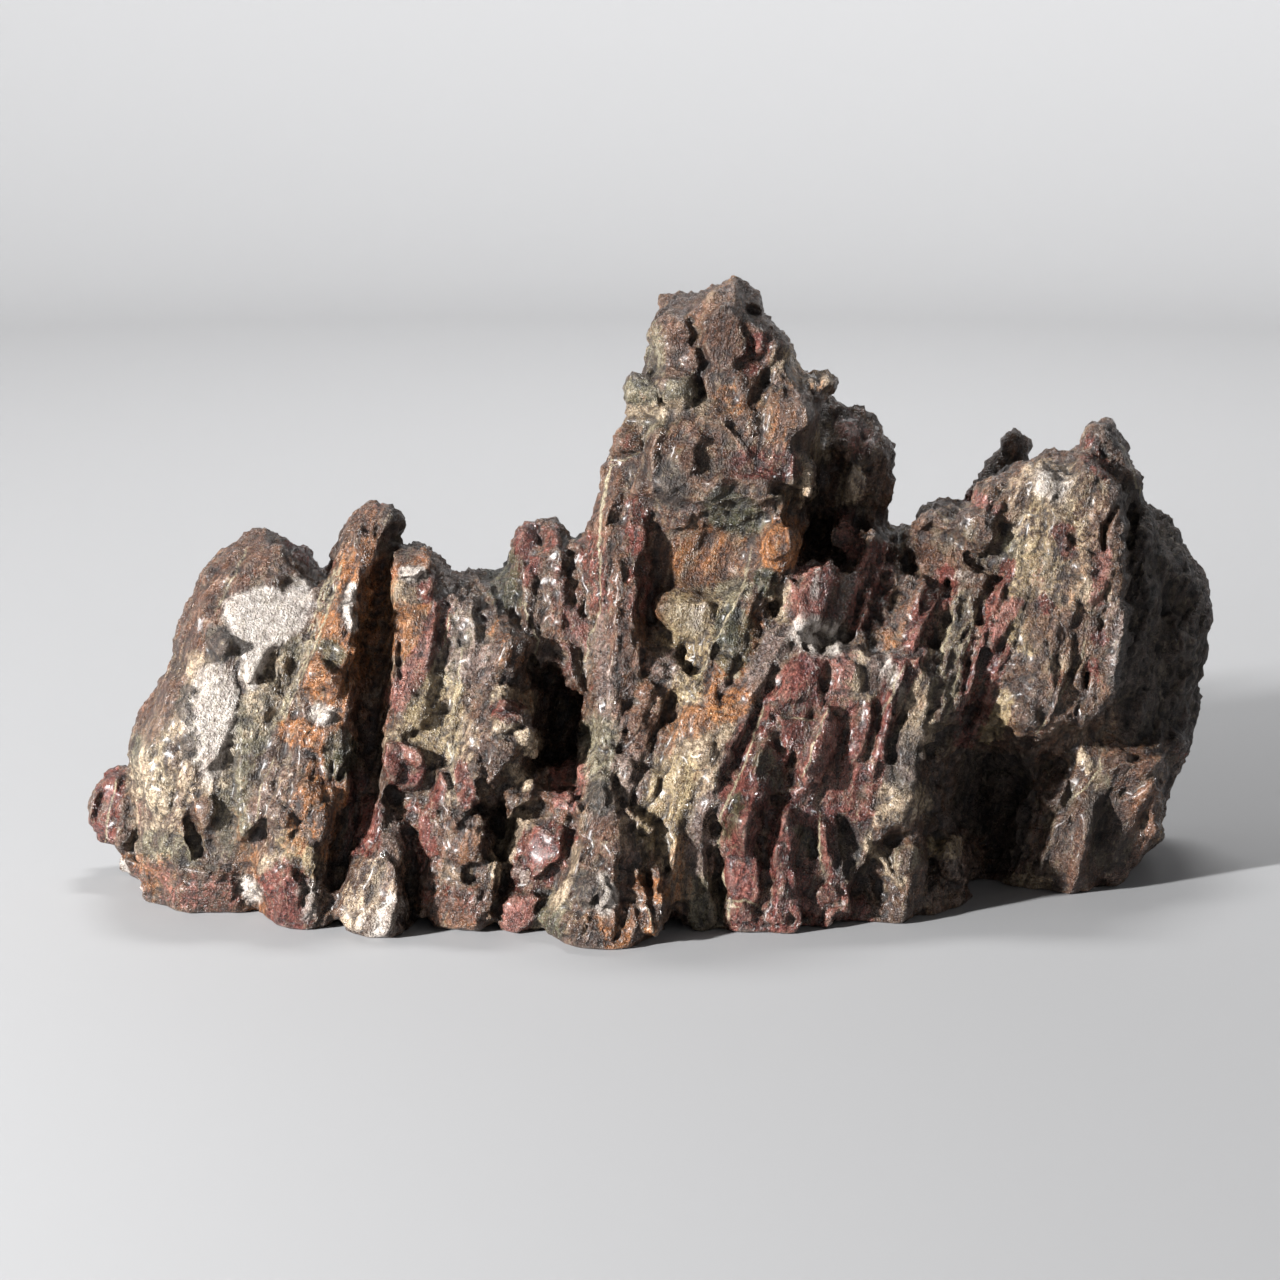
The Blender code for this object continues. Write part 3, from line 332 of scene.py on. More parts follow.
    "toothCleftA": ("groove", [(542, 534), (537, 570), (541, 602)], 0.9, 1.7, 0),
    "toothCleftB": ("groove", [(566, 538), (569, 580), (577, 612)], 1.0, 2.0, 0),
    "toothRight": ("ridge", [(577, 536), (584, 575), (592, 610)], 1.7, 1.4, 0.2),
    "saddleBoss": ("knob", [(500, 570)], (4.0, 4.4), 1.2, 0),
    "saddleRibA": ("ridge", [(486, 575), (492, 605)], 1.2, 1.0, 0.2),
    "saddleRibB": ("ridge", [(545, 585), (550, 605), (548, 620)], 1.6, 1.2, 0.3),
    "paleWedge": ("block", [(564, 604), (582, 612), (592, 630), (586, 652), (576, 636), (566, 620)],
        0.7, 1.3, (-10, 0)),
    "caveColumn": ("ridge", [(566, 640), (571, 668), (576, 696)], 2.4, 2.6, 0.1),
    "cave": ("hollow", [(536, 682), (548, 664), (560, 668), (562, 690), (580, 702), (586, 738), (570, 754),
        (550, 764), (538, 752), (541, 740), (537, 700)], 1.8, 5.0, 0),
    "jasperFace": ("block", [(534, 822), (552, 829), (563, 845), (557, 862), (532, 880), (520, 850)],
        0.4, 2.8, (4, 8)),
    "jasperCream": ("block", [(503, 862), (510, 832), (520, 812), (538, 809), (534, 822), (521, 848), (513, 864)],
        0.7, 1.4, (-20, 0)),
    "jasperGlint": ("block", [(512, 862), (519, 857), (530, 879), (524, 885), (508, 879)], 0.3, 2.4, (-18, -8)),
    "jasperTip": ("block", [(557, 824), (564, 827), (565, 842), (558, 841)], 0.3, 3.4, (-10, 0)),
    "jasperEdge": ("ridge", [(573, 824), (567, 852), (556, 878), (543, 896)], 0.9, 1.6, 0.3),
    "jasperCap": ("block", [(541, 800), (555, 789), (568, 798), (572, 812), (560, 822), (546, 815)],
        0.7, 1.4, (0, -10)),
    "pinkPlate": ("block", [(498, 925), (500, 902), (512, 893), (545, 896), (536, 918), (524, 939), (505, 935)],
        0.7, 1.8, (-5, -6)),
    "pinkLine": ("groove", [(498, 889), (520, 896), (548, 893)], 0.7, 1.4, 0),
    "jasperShade": ("hollow", [(574, 822), (581, 840), (574, 864), (556, 890), (541, 906), (530, 926), (548, 888),
        (564, 858)], 0.7, 3.0, 0),
    "pinkKnob": ("knob", [(566, 776)], (4.0, 4.4), 1.2, 20),
    # left rib of the spire
    "ribVein": ("ridge", [(612, 496), (603, 530), (605, 565), (600, 600), (594, 632), (587, 662), (584, 692)],
        1.1, 1.2, 0.2),
    "redRib": ("ridge", [(633, 505), (641, 540), (641, 580), (637, 612), (633, 650), (626, 690)], 4.6, 2.3, 0.45),
    "redRibShade": ("groove", [(652, 528), (657, 560), (651, 600), (653, 642)], 1.4, 2.4, 0),
    "innerRib": ("ridge", [(614, 545), (618, 590), (612, 640), (606, 690)], 2.0, 1.3, 0.3),
    "headKnob": ("knob", [(624, 440)], (5.0, 3.8), 2.2, 25),
    "headLine": ("groove", [(610, 456), (625, 462), (641, 449)], 0.9, 1.8, 0),
    "upperRib": ("ridge", [(621, 466), (610, 492), (600, 520), (592, 542)], 2.6, 1.5, 0.2),
    "upperRibShade": ("groove", [(634, 468), (624, 500), (617, 530)], 1.0, 1.7, 0),
    "chinKnob": ("knob", [(633, 719)], (4.0, 4.0), 1.6, 0),
    "chinRib": ("ridge", [(598, 736), (625, 739), (641, 728)], 0.8, 0.9, 0),
    "chinCrack": ("groove", [(603, 690), (606, 712)], 1.0, 1.3, 0),
    "amberHollow": ("hollow", [(640, 668), (668, 676), (686, 690), (673, 714), (664, 735), (652, 752), (644, 742),
        (655, 715), (666, 700), (643, 680)], 2.0, 1.8, 0),
    "amberTongue": ("ridge", [(642, 689), (658, 697), (668, 688)], 1.2, 1.2, 0),
    "sootedRib": ("ridge", [(640, 745), (630, 765), (622, 785)], 2.6, 1.4, 0.3),
    # foot of the spire
    "stubKnob": ("knob", [(600, 797)], (2.7, 4.2), 1.9, 0),
    "glitterLump": ("knob", [(613, 838)], (5.2, 7.4), 1.9, 0),
    "eyeKnob": ("knob", [(586, 890)], (3.6, 4.4), 2.0, 20),
    "eyeRim": ("ridge", [(600, 868), (598, 890), (590, 906)], 0.9, 1.4, 0),
    "paleTriangle": ("block", [(600, 872), (617, 890), (610, 906), (601, 912), (598, 893)], 0.5, 1.3, (-14, 0)),
    "fanEdge": ("ridge", [(583, 838), (572, 870), (556, 900), (539, 926)], 2.3, 1.5, 0.1),
    "fanCrack": ("groove", [(560, 905), (580, 914), (600, 921)], 0.7, 1.2, 0),
    "fanKnobA": ("knob", [(577, 926)], (3.0, 3.0), 1.1, 0),
    "fanKnobB": ("knob", [(600, 935)], (3.6, 2.6), 1.0, 0),
    "fanKnobC": ("knob", [(556, 936)], (3.0, 2.4), 0.9, 0),
    "rustKnob": ("knob", [(651, 892)], (3.4, 2.2), 1.3, 0),
    "rustRibA": ("ridge", [(640, 898), (650, 915), (653, 934)], 1.2, 1.3, 0.2),
    "rustRibB": ("ridge", [(630, 905), (636, 925), (628, 940)], 1.2, 1.0, 0.2),
    "footHollow": ("hollow", [(642, 828), (659, 826), (661, 868), (653, 888), (643, 884)], 1.2, 2.8, 0),
    "footShade": ("groove", [(618, 905), (622, 925), (616, 945)], 1.0, 1.8, 0),
    # the spire's face
    "panel": ("hollow", [(655, 516), (740, 510), (752, 540), (738, 584), (662, 592), (657, 560)], 3.0, 1.0, 0),
    "browBandA": ("ridge", [(650, 498), (690, 482), (740, 477), (786, 481)], 2.6, 1.3, 0),
    "browBandB": ("ridge", [(692, 505), (740, 499), (782, 495)], 1.5, 0.9, 0),
    "browShade": ("groove", [(655, 512), (700, 509), (760, 506), (786, 500)], 1.2, 1.3, 0),
    "glintBlock": ("block", [(671, 457), (680, 445), (698, 442), (699, 470), (686, 477), (673, 467)],
        0.5, 1.6, (-10, 8)),
    "whiteBand": ("ridge", [(700, 418), (720, 424), (740, 444), (751, 462)], 1.3, 1.5, 0.2),
    "bandShade": ("groove", [(682, 440), (700, 430), (712, 440)], 0.8, 1.0, 0),
    "faceKnob": ("knob", [(751, 427)], (1.8, 2.8), 1.0, 0),
    "browKnob": ("knob", [(700, 435)], (3.2, 2.8), 1.0, -20),
    "browKnobB": ("knob", [(671, 481)], (4.4, 3.0), 1.0, 0),
    "faceRibA": ("ridge", [(660, 430), (648, 460), (640, 490)], 2.4, 0.9, 0.2),
    "creamPatch": ("block", [(657, 602), (690, 602), (705, 597), (716, 608), (711, 630), (702, 648), (690, 640),
        (672, 628), (658, 615)], 0.8, 1.3, (-12, -4)),
    "creamPatchLine": ("groove", [(690, 604), (700, 611)], 0.5, 1.0, 0),
    "smokyPatch": ("block", [(650, 624), (665, 625), (681, 645), (673, 662), (656, 665), (648, 645)],
        0.8, 0.8, (-4, 6)),
    "panelVein": ("ridge", [(752, 545), (743, 585), (729, 615), (713, 645), (698, 676), (688, 700)], 0.9, 1.2, 0.2),
    "copperKnob": ("knob", [(780, 544)], (6.6, 8.2), 2.6, 10),
    "copperFacet": ("block", [(762, 545), (768, 526), (784, 518), (790, 545), (780, 560), (764, 562)],
        0.8, 0.5, (-16, 4)),
    "darkStud": ("knob", [(766, 583)], (2.8, 3.2), 1.2, 0),
    "creamLedge": ("block", [(775, 590), (790, 575), (798, 600), (790, 622), (776, 612)], 0.6, 1.2, (-16, 0)),
    "mossBlock": ("block", [(722, 626), (735, 618), (749, 625), (743, 650), (738, 660), (723, 646)],
        0.6, 1.1, (-6, 0)),
    "rustStrip": ("ridge", [(756, 622), (750, 640), (742, 655)], 1.6, 1.2, 0.2),
    "rustPebble": ("knob", [(727, 663)], (3.6, 3.0), 1.2, 0),
    "pebbleShade": ("groove", [(715, 650), (728, 652), (742, 662), (738, 676)], 0.6, 1.2, 0),
    # head of the spire
    "paleHead": ("knob", [(677, 336)], (3.8, 5.4), 1.6, 8),
    "headCleftA": ("groove", [(692, 314), (696, 332), (690, 350)], 1.1, 2.6, 0),
    "headCleftB": ("groove", [(699, 342), (706, 362), (701, 380), (699, 404)], 1.3, 3.2, 0),
    "headKnobB": ("knob", [(693, 358)], (3.2, 3.8), 1.3, 0),
    "headKnobC": ("knob", [(656, 352)], (3.0, 4.0), 1.0, 0),
    "headKnobD": ("knob", [(672, 356)], (3.0, 3.4), 0.9, 0),
    "plateLeft": ("block", [(702, 318), (722, 303), (742, 318), (750, 338), (748, 355), (735, 370), (712, 372),
        (702, 350)], 0.8, 1.8, (-10, 4)),
    "plateRight": ("block", [(746, 316), (772, 332), (766, 352), (754, 360), (753, 342), (743, 325)],
        0.6, 1.8, (12, 0)),
    "zigzag": ("groove", [(741, 322), (746, 333), (753, 341), (749, 356)], 0.9, 2.4, 0),
    "slot": ("groove", [(743, 306), (757, 312), (768, 321)], 1.1, 2.6, 0.3),
    "slotRim": ("ridge", [(752, 300), (768, 311), (783, 330)], 1.2, 1.2, 0),
    "rimCrack": ("groove", [(773, 329), (765, 344), (761, 361)], 0.8, 1.8, 0),
    "rimRib": ("ridge", [(779, 340), (771, 356), (766, 368)], 1.4, 1.2, 0.2),
    "crownCrack": ("groove", [(722, 290), (728, 303), (722, 320)], 0.5, 0.9, 0),
    "crownCrackB": ("groove", [(702, 295), (700, 312)], 0.6, 0.9, 0),
    "neckShade": ("groove", [(774, 362), (767, 374), (760, 388)], 1.4, 3.0, 0),
    "neckKnobA": ("knob", [(748, 380)], (3.6, 5.6), 1.5, 20),
    "neckKnobB": ("knob", [(729, 376)], (3.0, 4.4), 1.2, 20),
    "neckKnobC": ("knob", [(714, 384)], (2.6, 4.6), 1.0, 0),
    "neckCrack": ("groove", [(733, 372), (728, 385), (732, 400)], 0.7, 1.4, 0),
    "collarKnobA": ("knob", [(638, 391)], (6.2, 8.0), 2.2, 0),
    "collarKnobB": ("knob", [(679, 389)], (5.6, 5.6), 2.2, 0),
    "collarCleft": ("groove", [(655, 376), (659, 394), (668, 410)], 0.9, 1.8, 0),
    "collarShade": ("groove", [(695, 378), (703, 397)], 1.4, 3.2, 0),
    "collarKnobC": ("knob", [(655, 412)], (3.2, 2.8), 1.1, 0),
    "collarLine": ("groove", [(620, 420), (650, 424), (690, 428)], 0.8, 1.2, 0),
    "ruleKnob": ("knob", [(790, 373)], (5.0, 3.4), 1.3, 0),
    "lipKnob": ("knob", [(833, 379)], (2.4, 3.2), 1.5, 0),
    "lipShade": ("groove", [(798, 388), (822, 390), (838, 402)], 1.2, 2.2, 0),
    "amberShoulder": ("knob", [(790, 424)], (7.4, 10.0), 1.6, -8),
    "amberRib": ("ridge", [(802, 395), (808, 430), (804, 455)], 1.5, 1.5, 0.3),
    "shoulderShade": ("hollow", [(813, 396), (830, 402), (829, 440), (823, 480), (813, 500), (815, 450)],
        1.2, 2.6, 0),
    "hangingTooth": ("knob", [(805, 480)], (4.4, 8.0), 1.7, -6),
    "shadeStrip": ("ridge", [(820, 425), (825, 452), (820, 474)], 1.2, 1.2, 0.2),
    "buttressKnobA": ("knob", [(848, 430)], (4.6, 5.0), 1.7, 0),
    "buttressKnobB": ("knob", [(855, 482)], (4.0, 5.6), 1.6, 0),
    "buttressKnobC": ("knob", [(880, 450)], (3.6, 6.6), 1.2, 0),
    "blackHole": ("hollow", [(808, 514), (832, 517), (833, 552), (820, 558), (806, 563)], 0.9, 6.0, 0),
    # red ribs
    "boulderLeft": ("block", [(803, 582), (814, 564), (828, 556), (841, 565), (834, 600), (822, 629), (788, 634),
        (796, 600)], 0.6, 3.0, (-30, 4)),
    "boulderRight": ("block", [(841, 562), (860, 566), (861, 590), (852, 614), (838, 634), (824, 628), (836, 600)],
        0.7, 1.6, (14, 0)),
    "boulderGlint": ("block", [(790, 633), (815, 622), (832, 620), (839, 635), (835, 652), (812, 648), (798, 641)],
        0.4, 1.8, (-24, -10)),
    "boulderLine": ("groove", [(790, 641), (815, 651), (836, 657)], 0.6, 1.8, 0),
    "cragLeft": ("block", [(837, 515), (850, 518), (861, 530), (858, 558), (840, 558), (833, 540)],
        0.7, 1.2, (-8, 4)),
    "cragRight": ("block", [(864, 540), (876, 530), (893, 540), (888, 557), (868, 556)], 0.7, 1.0, (4, 0)),
    "highSliver": ("ridge", [(881, 562), (870, 590), (860, 620), (851, 642)], 1.7, 2.2, 0.4),
    "highSliverShade": ("groove", [(890, 568), (879, 600), (865, 634)], 1.6, 3.0, 0),
    "brownRecess": ("hollow", [(882, 598), (905, 588), (918, 600), (912, 630), (900, 650), (886, 666), (868, 652),
        (872, 622)], 1.8, 1.8, 0),
    "redPlateA": ("block", [(800, 646), (828, 656), (820, 680), (802, 700), (788, 706), (771, 702), (782, 680),
        (795, 660)], 0.5, 2.0, (-8, 4)),
    "redPlateAShade": ("groove", [(831, 660), (823, 690), (806, 711)], 0.9, 2.0, 0),
    "redPlateALine": ("ridge", [(807, 650), (813, 668), (805, 682)], 0.7, 0.9, 0.2),
    "redPlateASplit": ("ridge", [(794, 648), (786, 666), (775, 682)], 0.9, 1.3, 0.2),
    "smallFacet": ("block", [(808, 690), (820, 682), (823, 700), (812, 713), (804, 704)], 0.5, 1.3, (6, 0)),
    "redPlateB": ("block", [(778, 715), (815, 722), (812, 742), (800, 761), (790, 745), (782, 730)],
        0.5, 1.3, (-6, 2)),
    "redPlateBShade": ("groove", [(771, 722), (782, 746), (793, 768)], 1.4, 3.0, 0),
    "redTooth": ("block", [(767, 710), (780, 730), (777, 739), (761, 735)], 0.4, 1.7, (-8, 0)),
    "mossPlate": ("block", [(760, 742), (778, 745), (790, 770), (795, 786), (780, 796), (765, 792), (752, 772)],
        0.6, 1.1, (-4, 2)),
    "redPlateC": ("block", [(830, 705), (845, 722), (842, 745), (828, 765), (823, 785), (806, 786), (801, 770),
        (812, 745), (822, 720)], 0.5, 2.4, (-8, 2)),
    "redPlateCShade": ("groove", [(849, 724), (841, 755), (833, 784)], 0.9, 2.2, 0),
    "columnA": ("block", [(839, 640), (856, 640), (860, 655), (842, 660)], 0.5, 1.1, (-4, 0)),
    "columnB": ("block", [(838, 666), (857, 663), (863, 680), (858, 692), (834, 690)], 0.5, 1.7, (-4, 0)),
    "columnLineA": ("groove", [(835, 661), (860, 660)], 0.5, 1.2, 0),
    "columnLineB": ("groove", [(830, 693), (858, 695)], 0.5, 1.2, 0),
    "paleRib": ("ridge", [(869, 690), (867, 715), (860, 742), (850, 768)], 2.5, 1.9, 0.3),
    "paleRibShade": ("groove", [(879, 700), (876, 735), (864, 765)], 1.0, 2.0, 0),
    "redSliver": ("ridge", [(895, 690), (889, 720), (880, 752), (868, 784)], 1.7, 2.1, 0.3),
    "redSliverShade": ("groove", [(904, 702), (899, 732), (889, 768)], 1.2, 2.4, 0),
    "longSliverTop": ("ridge", [(942, 577), (933, 600), (919, 626), (908, 652)], 2.1, 2.6, 0.35),
    "longSliverLow": ("ridge", [(905, 662), (896, 684), (885, 708)], 2.1, 2.4, 0.35),
    "longSliverShade": ("groove", [(953, 580), (948, 612), (934, 642), (922, 674)], 2.0, 3.6, 0),
    "shinyBulge": ("knob", [(742, 826)], (6.0, 6.6), 2.0, 0),
    "redFoot": ("block", [(721, 850), (760, 858), (765, 890), (757, 905), (735, 900), (726, 890), (719, 870)],
        0.7, 0.9, (-6, 0)),
    "redFootLine": ("groove", [(727, 903), (745, 901), (761, 906)], 0.5, 0.9, 0),
    "redRibB": ("ridge", [(792, 800), (781, 822), (773, 846), (777, 872)], 3.0, 1.7, 0.2),
    "redRibBShade": ("groove", [(765, 800), (763, 840), (771, 880), (773, 922)], 1.0, 2.4, 0),
    "redKnobA": ("knob", [(789, 826)], (3.6, 4.6), 1.3, 0),
    "redRibC": ("ridge", [(826, 818), (825, 848), (831, 872)], 2.1, 1.8, 0.3),
    "redRibCShade": ("groove", [(812, 826), (814, 860)], 1.2, 1.8, 0),
    "rubbleHollow": ("hollow", [(839, 812), (853, 822), (863, 850), (858, 880), (846, 880), (842, 850)], 1.0, 3.2, 0),
    "rubbleA": ("knob", [(780, 890)], (3.0, 3.0), 1.2, 0),
    "rubbleB": ("knob", [(800, 905)], (3.6, 3.0), 1.2, 0),
    "rubbleC": ("knob", [(830, 893)], (3.0, 3.2), 1.2, 0),
    "rubbleD": ("knob", [(856, 905)], (3.8, 4.0), 1.3, 0),
    "rubbleE": ("knob", [(800, 880)], (3.0, 3.6), 1.1, 0),
    "rubbleF": ("knob", [(838, 916)], (4.0, 2.8), 1.1, 0),
    "rubbleG": ("knob", [(776, 918)], (3.2, 2.8), 1.0, 0),
    "slateUpper": ("ridge", [(784, 630), (771, 660), (757, 684), (741, 702)], 3.4, 2.4, 0.25),
    "slateLower": ("ridge", [(757, 692), (741, 720), (727, 750), (711, 780), (701, 815), (698, 850)], 3.2, 2.2, 0.25),
    "slateShadeA": ("groove", [(780, 602), (765, 630), (752, 656), (741, 682)], 0.8, 1.7, 0),
    "slateShadeB": ("groove", [(776, 664), (766, 692), (752, 725), (738, 760), (728, 790)], 0.9, 2.0, 0),
    "slateFoot": ("ridge", [(700, 850), (706, 890), (708, 930)], 2.4, 1.6, 0.2),
    "darkGap": ("hollow", [(704, 838), (716, 850), (724, 885), (728, 930), (716, 932), (710, 890)], 0.9, 3.2, 0),
    "creamRun": ("ridge", [(716, 728), (700, 762), (682, 800), (674, 850), (674, 888)], 6.0, 1.5, 0.1),
    "creamKnobA": ("knob", [(700, 752)], (4.6, 4.6), 1.2, 20),
    # the slope and the recess
    "slopeKnobA": ("knob", [(912, 735)], (4.0, 5.0), 1.5, 0),
    "slopeKnobB": ("knob", [(914, 768)], (4.8, 5.6), 1.6, 0),
    "slopeKnobC": ("knob", [(904, 797)], (4.0, 4.6), 1.4, 0),
    "slopeKnobD": ("knob", [(889, 816)], (6.0, 3.8), 1.6, -20),
    "slopeRib": ("ridge", [(862, 800), (880, 824), (908, 830)], 1.3, 1.2, 0),
    "slopePit": ("hollow", [(880, 838), (905, 829), (922, 836), (901, 846), (885, 847)], 0.6, 2.6, 0),
    "diagonalRib": ("ridge", [(861, 838), (880, 862), (902, 882)], 1.3, 1.7, 0.2),
    "diagonalShade": ("hollow", [(866, 864), (884, 880), (894, 905), (876, 899)], 0.9, 2.6, 0),
    "rootKnobA": ("knob", [(962, 856)], (7.4, 7.0), 5.0, 0),
    "rootKnobB": ("knob", [(938, 850)], (3.6, 3.6), 3.4, 0),
    "rootArc": ("ridge", [(975, 838), (985, 852), (982, 871)], 0.8, 1.0, 0),
    "rootKnobC": ("knob", [(908, 856)], (4.6, 5.0), 2.4, 0),
    "rootRib": ("ridge", [(926, 854), (912, 876)], 1.3, 1.2, 0.2),
    "recess": ("hollow", [(930, 762), (960, 746), (1030, 752), (1036, 800), (1026, 860), (1000, 880), (986, 838),
        (940, 828), (926, 800)], 3.5, 1.6, 0),
    "recessKnobB": ("knob", [(968, 775)], (4.6, 5.6), 3.2, 20),
    "recessKnobC": ("knob", [(1002, 830)], (4.6, 6.0), 2.2, 0),
    "recessShade": ("groove", [(984, 758), (986, 790), (976, 812)], 1.2, 2.0, 0),
    "recessKnob": ("knob", [(1000, 790)], (5.0, 5.0), 3.4, 0),
    "recessRib": ("ridge", [(1018, 750), (1031, 775), (1025, 802)], 1.6, 2.2, 0),
    "slopeRibB": ("ridge", [(950, 640), (944, 690), (938, 735)], 2.4, 1.3, 0.2),
    # the cliff
    "cheekBlock": ("block", [(905, 542), (930, 521), (960, 545), (984, 580), (965, 600), (932, 590), (918, 570)],
        1.0, 0.9, (-4, 8)),
    "cheekCrack": ("groove", [(948, 520), (958, 545), (972, 560)], 0.7, 1.3, 0),
    "cheekRib": ("ridge", [(955, 506), (985, 520), (1000, 545)], 2.2, 1.2, 0),
    "cheekHole": ("hollow", [(1003, 520), (1013, 530), (1011, 550), (1004, 560), (999, 545)], 0.8, 1.6, 0),
    "stripShade": ("groove", [(996, 560), (990, 585), (980, 610), (972, 645), (962, 702)], 0.9, 1.9, 0),
    "bladeLong": ("ridge", [(1008, 566), (997, 600), (981, 640), (970, 682), (964, 722)], 1.2, 2.0, 0.3),
    "bladeWide": ("block", [(1008, 598), (1028, 597), (1025, 607), (1010, 626), (1001, 640), (995, 656), (985, 650),
        (992, 625)], 0.5, 2.0, (-8, 4)),
    "bladeLow": ("ridge", [(1003, 642), (1003, 656), (990, 682), (978, 716), (963, 742)], 1.5, 1.5, 0.3),
    "cliffKnobA": ("knob", [(1045, 485)], (4.6, 5.0), 1.1, 0),
    "cliffKnobB": ("knob", [(1085, 470)], (5.0, 5.0), 1.1, 0),
    "cliffKnobC": ("knob", [(1105, 510)], (4.2, 5.0), 1.2, 0),
    "cliffKnobD": ("knob", [(1085, 566)], (4.0, 3.4), 1.2, 0),
    "cliffKnobE": ("knob", [(1091, 590)], (4.0, 4.0), 1.2, 0),
    "cliffPit": ("groove", [(1070, 531), (1074, 543)], 0.8, 1.6, 0),
    "cliffCrystal": ("block", [(1060, 545), (1066, 531), (1072, 546), (1064, 552)], 0.4, 1.2, (-8, 0)),
    "cliffRidgeA": ("ridge", [(1068, 680), (1058, 700), (1048, 722), (1030, 738)], 1.2, 1.3, 0.2),
    "cliffGrooveA": ("groove", [(1090, 640), (1076, 668), (1066, 690), (1058, 712)], 0.8, 1.3, 0),
    "cliffKnobF": ("knob", [(1020, 718)], (6.0, 4.8), 1.5, 20),
    "cliffGrooveB": ("groove", [(1117, 560), (1107, 600), (1101, 640), (1088, 676)], 0.9, 1.7, 0),
    "cliffShine": ("ridge", [(1127, 618), (1119, 650), (1114, 684)], 1.5, 1.8, 0.2),
    "hornKnob": ("knob", [(1106, 428)], (4.4, 5.0), 1.5, 0),
    "hornShade": ("groove", [(1093, 441), (1105, 450), (1119, 464)], 1.1, 2.4, 0),
    "hornRib": ("ridge", [(1120, 442), (1134, 470), (1140, 500)], 2.1, 1.4, 0),
    "sideShade": ("hollow", [(1128, 500), (1137, 506), (1134, 560), (1126, 576), (1124, 540)], 0.9, 3.0, 0),
    "sideFibreA": ("ridge", [(1140, 592), (1163, 640), (1184, 692)], 1.0, 1.1, 0.2),
    "sideFibreB": ("ridge", [(1158, 580), (1180, 630), (1198, 682)], 1.0, 1.1, 0.2),
    "sideFibreC": ("ridge", [(1134, 620), (1152, 668), (1170, 716)], 1.0, 1.1, 0.2),
    "sideFibreD": ("ridge", [(1150, 640), (1168, 680), (1180, 712)], 0.9, 1.0, 0.2),
    "sideKnob": ("knob", [(1186, 736)], (4.0, 3.4), 1.4, 0),
    # foot of the cliff
    "lipLedge": ("ridge", [(1098, 770), (1122, 758), (1148, 750), (1172, 742)], 3.4, 2.6, 0.1),
    "lipLine": ("groove", [(1112, 797), (1140, 786), (1168, 764)], 1.6, 2.8, 0),
    "legRibA": ("ridge", [(1155, 772), (1136, 800), (1121, 832), (1108, 870)], 4.2, 1.7, 0.2),
    "legRibB": ("ridge", [(1096, 790), (1086, 830), (1075, 868), (1080, 892)], 4.0, 2.0, 0.2),
    "legRibC": ("ridge", [(1076, 798), (1052, 838), (1031, 880)], 3.0, 1.9, 0.2),
    "legCrackA": ("groove", [(1101, 802), (1094, 832), (1090, 860)], 0.8, 1.5, 0),
    "legCrackB": ("groove", [(1064, 818), (1051, 850), (1043, 882)], 0.8, 2.0, 0),
    "legHollow": ("hollow", [(1040, 752), (1068, 758), (1065, 788), (1046, 800), (1035, 780)], 1.2, 2.6, 0),
    "recessKnobD": ("knob", [(1030, 770)], (4.6, 5.6), 3.2, 15),
    "recessKnobE": ("knob", [(1052, 790)], (4.4, 6.6), 3.0, 10),
    "legKnob": ("knob", [(1084, 760)], (3.0, 3.4), 1.2, 0),
}

# Large odd numbers that mix a cell's indices, its seed and its second draw
mixers = {
    "x": 374761393, "y": 668265263, "z": 3266489917, "seed": 40503, "seedStart": 977, "fold": 2246822519,
    "second": 2654435761,
}


# A well mixed whole number for each lattice cell: the three indices and the seed multiplied and folded
def mixedNumber(cells, seed):
    x, y, z = (cells[..., axis].astype(np.int64).astype(np.uint32) for axis in range(3))
    mixed = x * np.uint32(mixers["x"]) + y * np.uint32(mixers["y"]) + z * np.uint32(mixers["z"])
    mixed = mixed + np.uint32(seed * mixers["seed"] + mixers["seedStart"])
    for shift, mixer in ((15, mixers["fold"]), (13, mixers["z"])):
        mixed = (mixed ^ (mixed >> np.uint32(shift))) * np.uint32(mixer)
    return mixed ^ (mixed >> np.uint32(16))


# Three numbers from -1 to 1 out of each whole number, ten bits for each
def threeWays(mixed):
    tenBits = np.uint32(1023)
    parts = [((mixed >> np.uint32(shift)) & tenBits).astype(np.float32) for shift in (0, 10, 20)]
    return [part / 511.5 - 1.0 for part in parts]


# What brings the raw rolling relief up to about -1 to 1
rollingGain = 1.6


# Rolling relief from -1 to 1: at each of a cell's eight corners a random slope times the way to it,
# blended by 6t^5 - 15t^4 + 10t^3
def rolling(points, size, seed):
    places = (points / np.asarray(size)).astype(np.float32)
    corner = np.floor(places)
    inside = places - corner
    fade = inside ** 3 * (inside * (inside * 6 - 15) + 10)
    total = np.zeros(len(points), np.float32)
    for step in ((a, b, c) for a in (0, 1) for b in (0, 1) for c in (0, 1)):
        slopes = threeWays(mixedNumber(corner + step, seed))
        reach = [inside[:, axis] - step[axis] for axis in range(3)]
        share = np.prod([fade[:, axis] if step[axis] else 1 - fade[:, axis] for axis in range(3)], axis=0)
        total += share * (slopes[0] * reach[0] + slopes[1] * reach[1] + slopes[2] * reach[2])
    return total * rollingGain


# Rolling relief in layers, each of half the size and half the height of the last
def layered(points, size, seed, layers=3):
    total = sum(rolling(points / 0.5 ** n, size, seed + n) * 0.5 ** n for n in range(layers))
    return total / rollingGain


# How far a crag's top may lie from its cell's middle and how much the crags' heights differ, both in cells, and
# what brings their mean height to about 0: a share of the fall, and a fixed step
cragShape = {"scatter": 0.42, "heights": 0.45, "fallShare": 0.75, "step": 0.25}


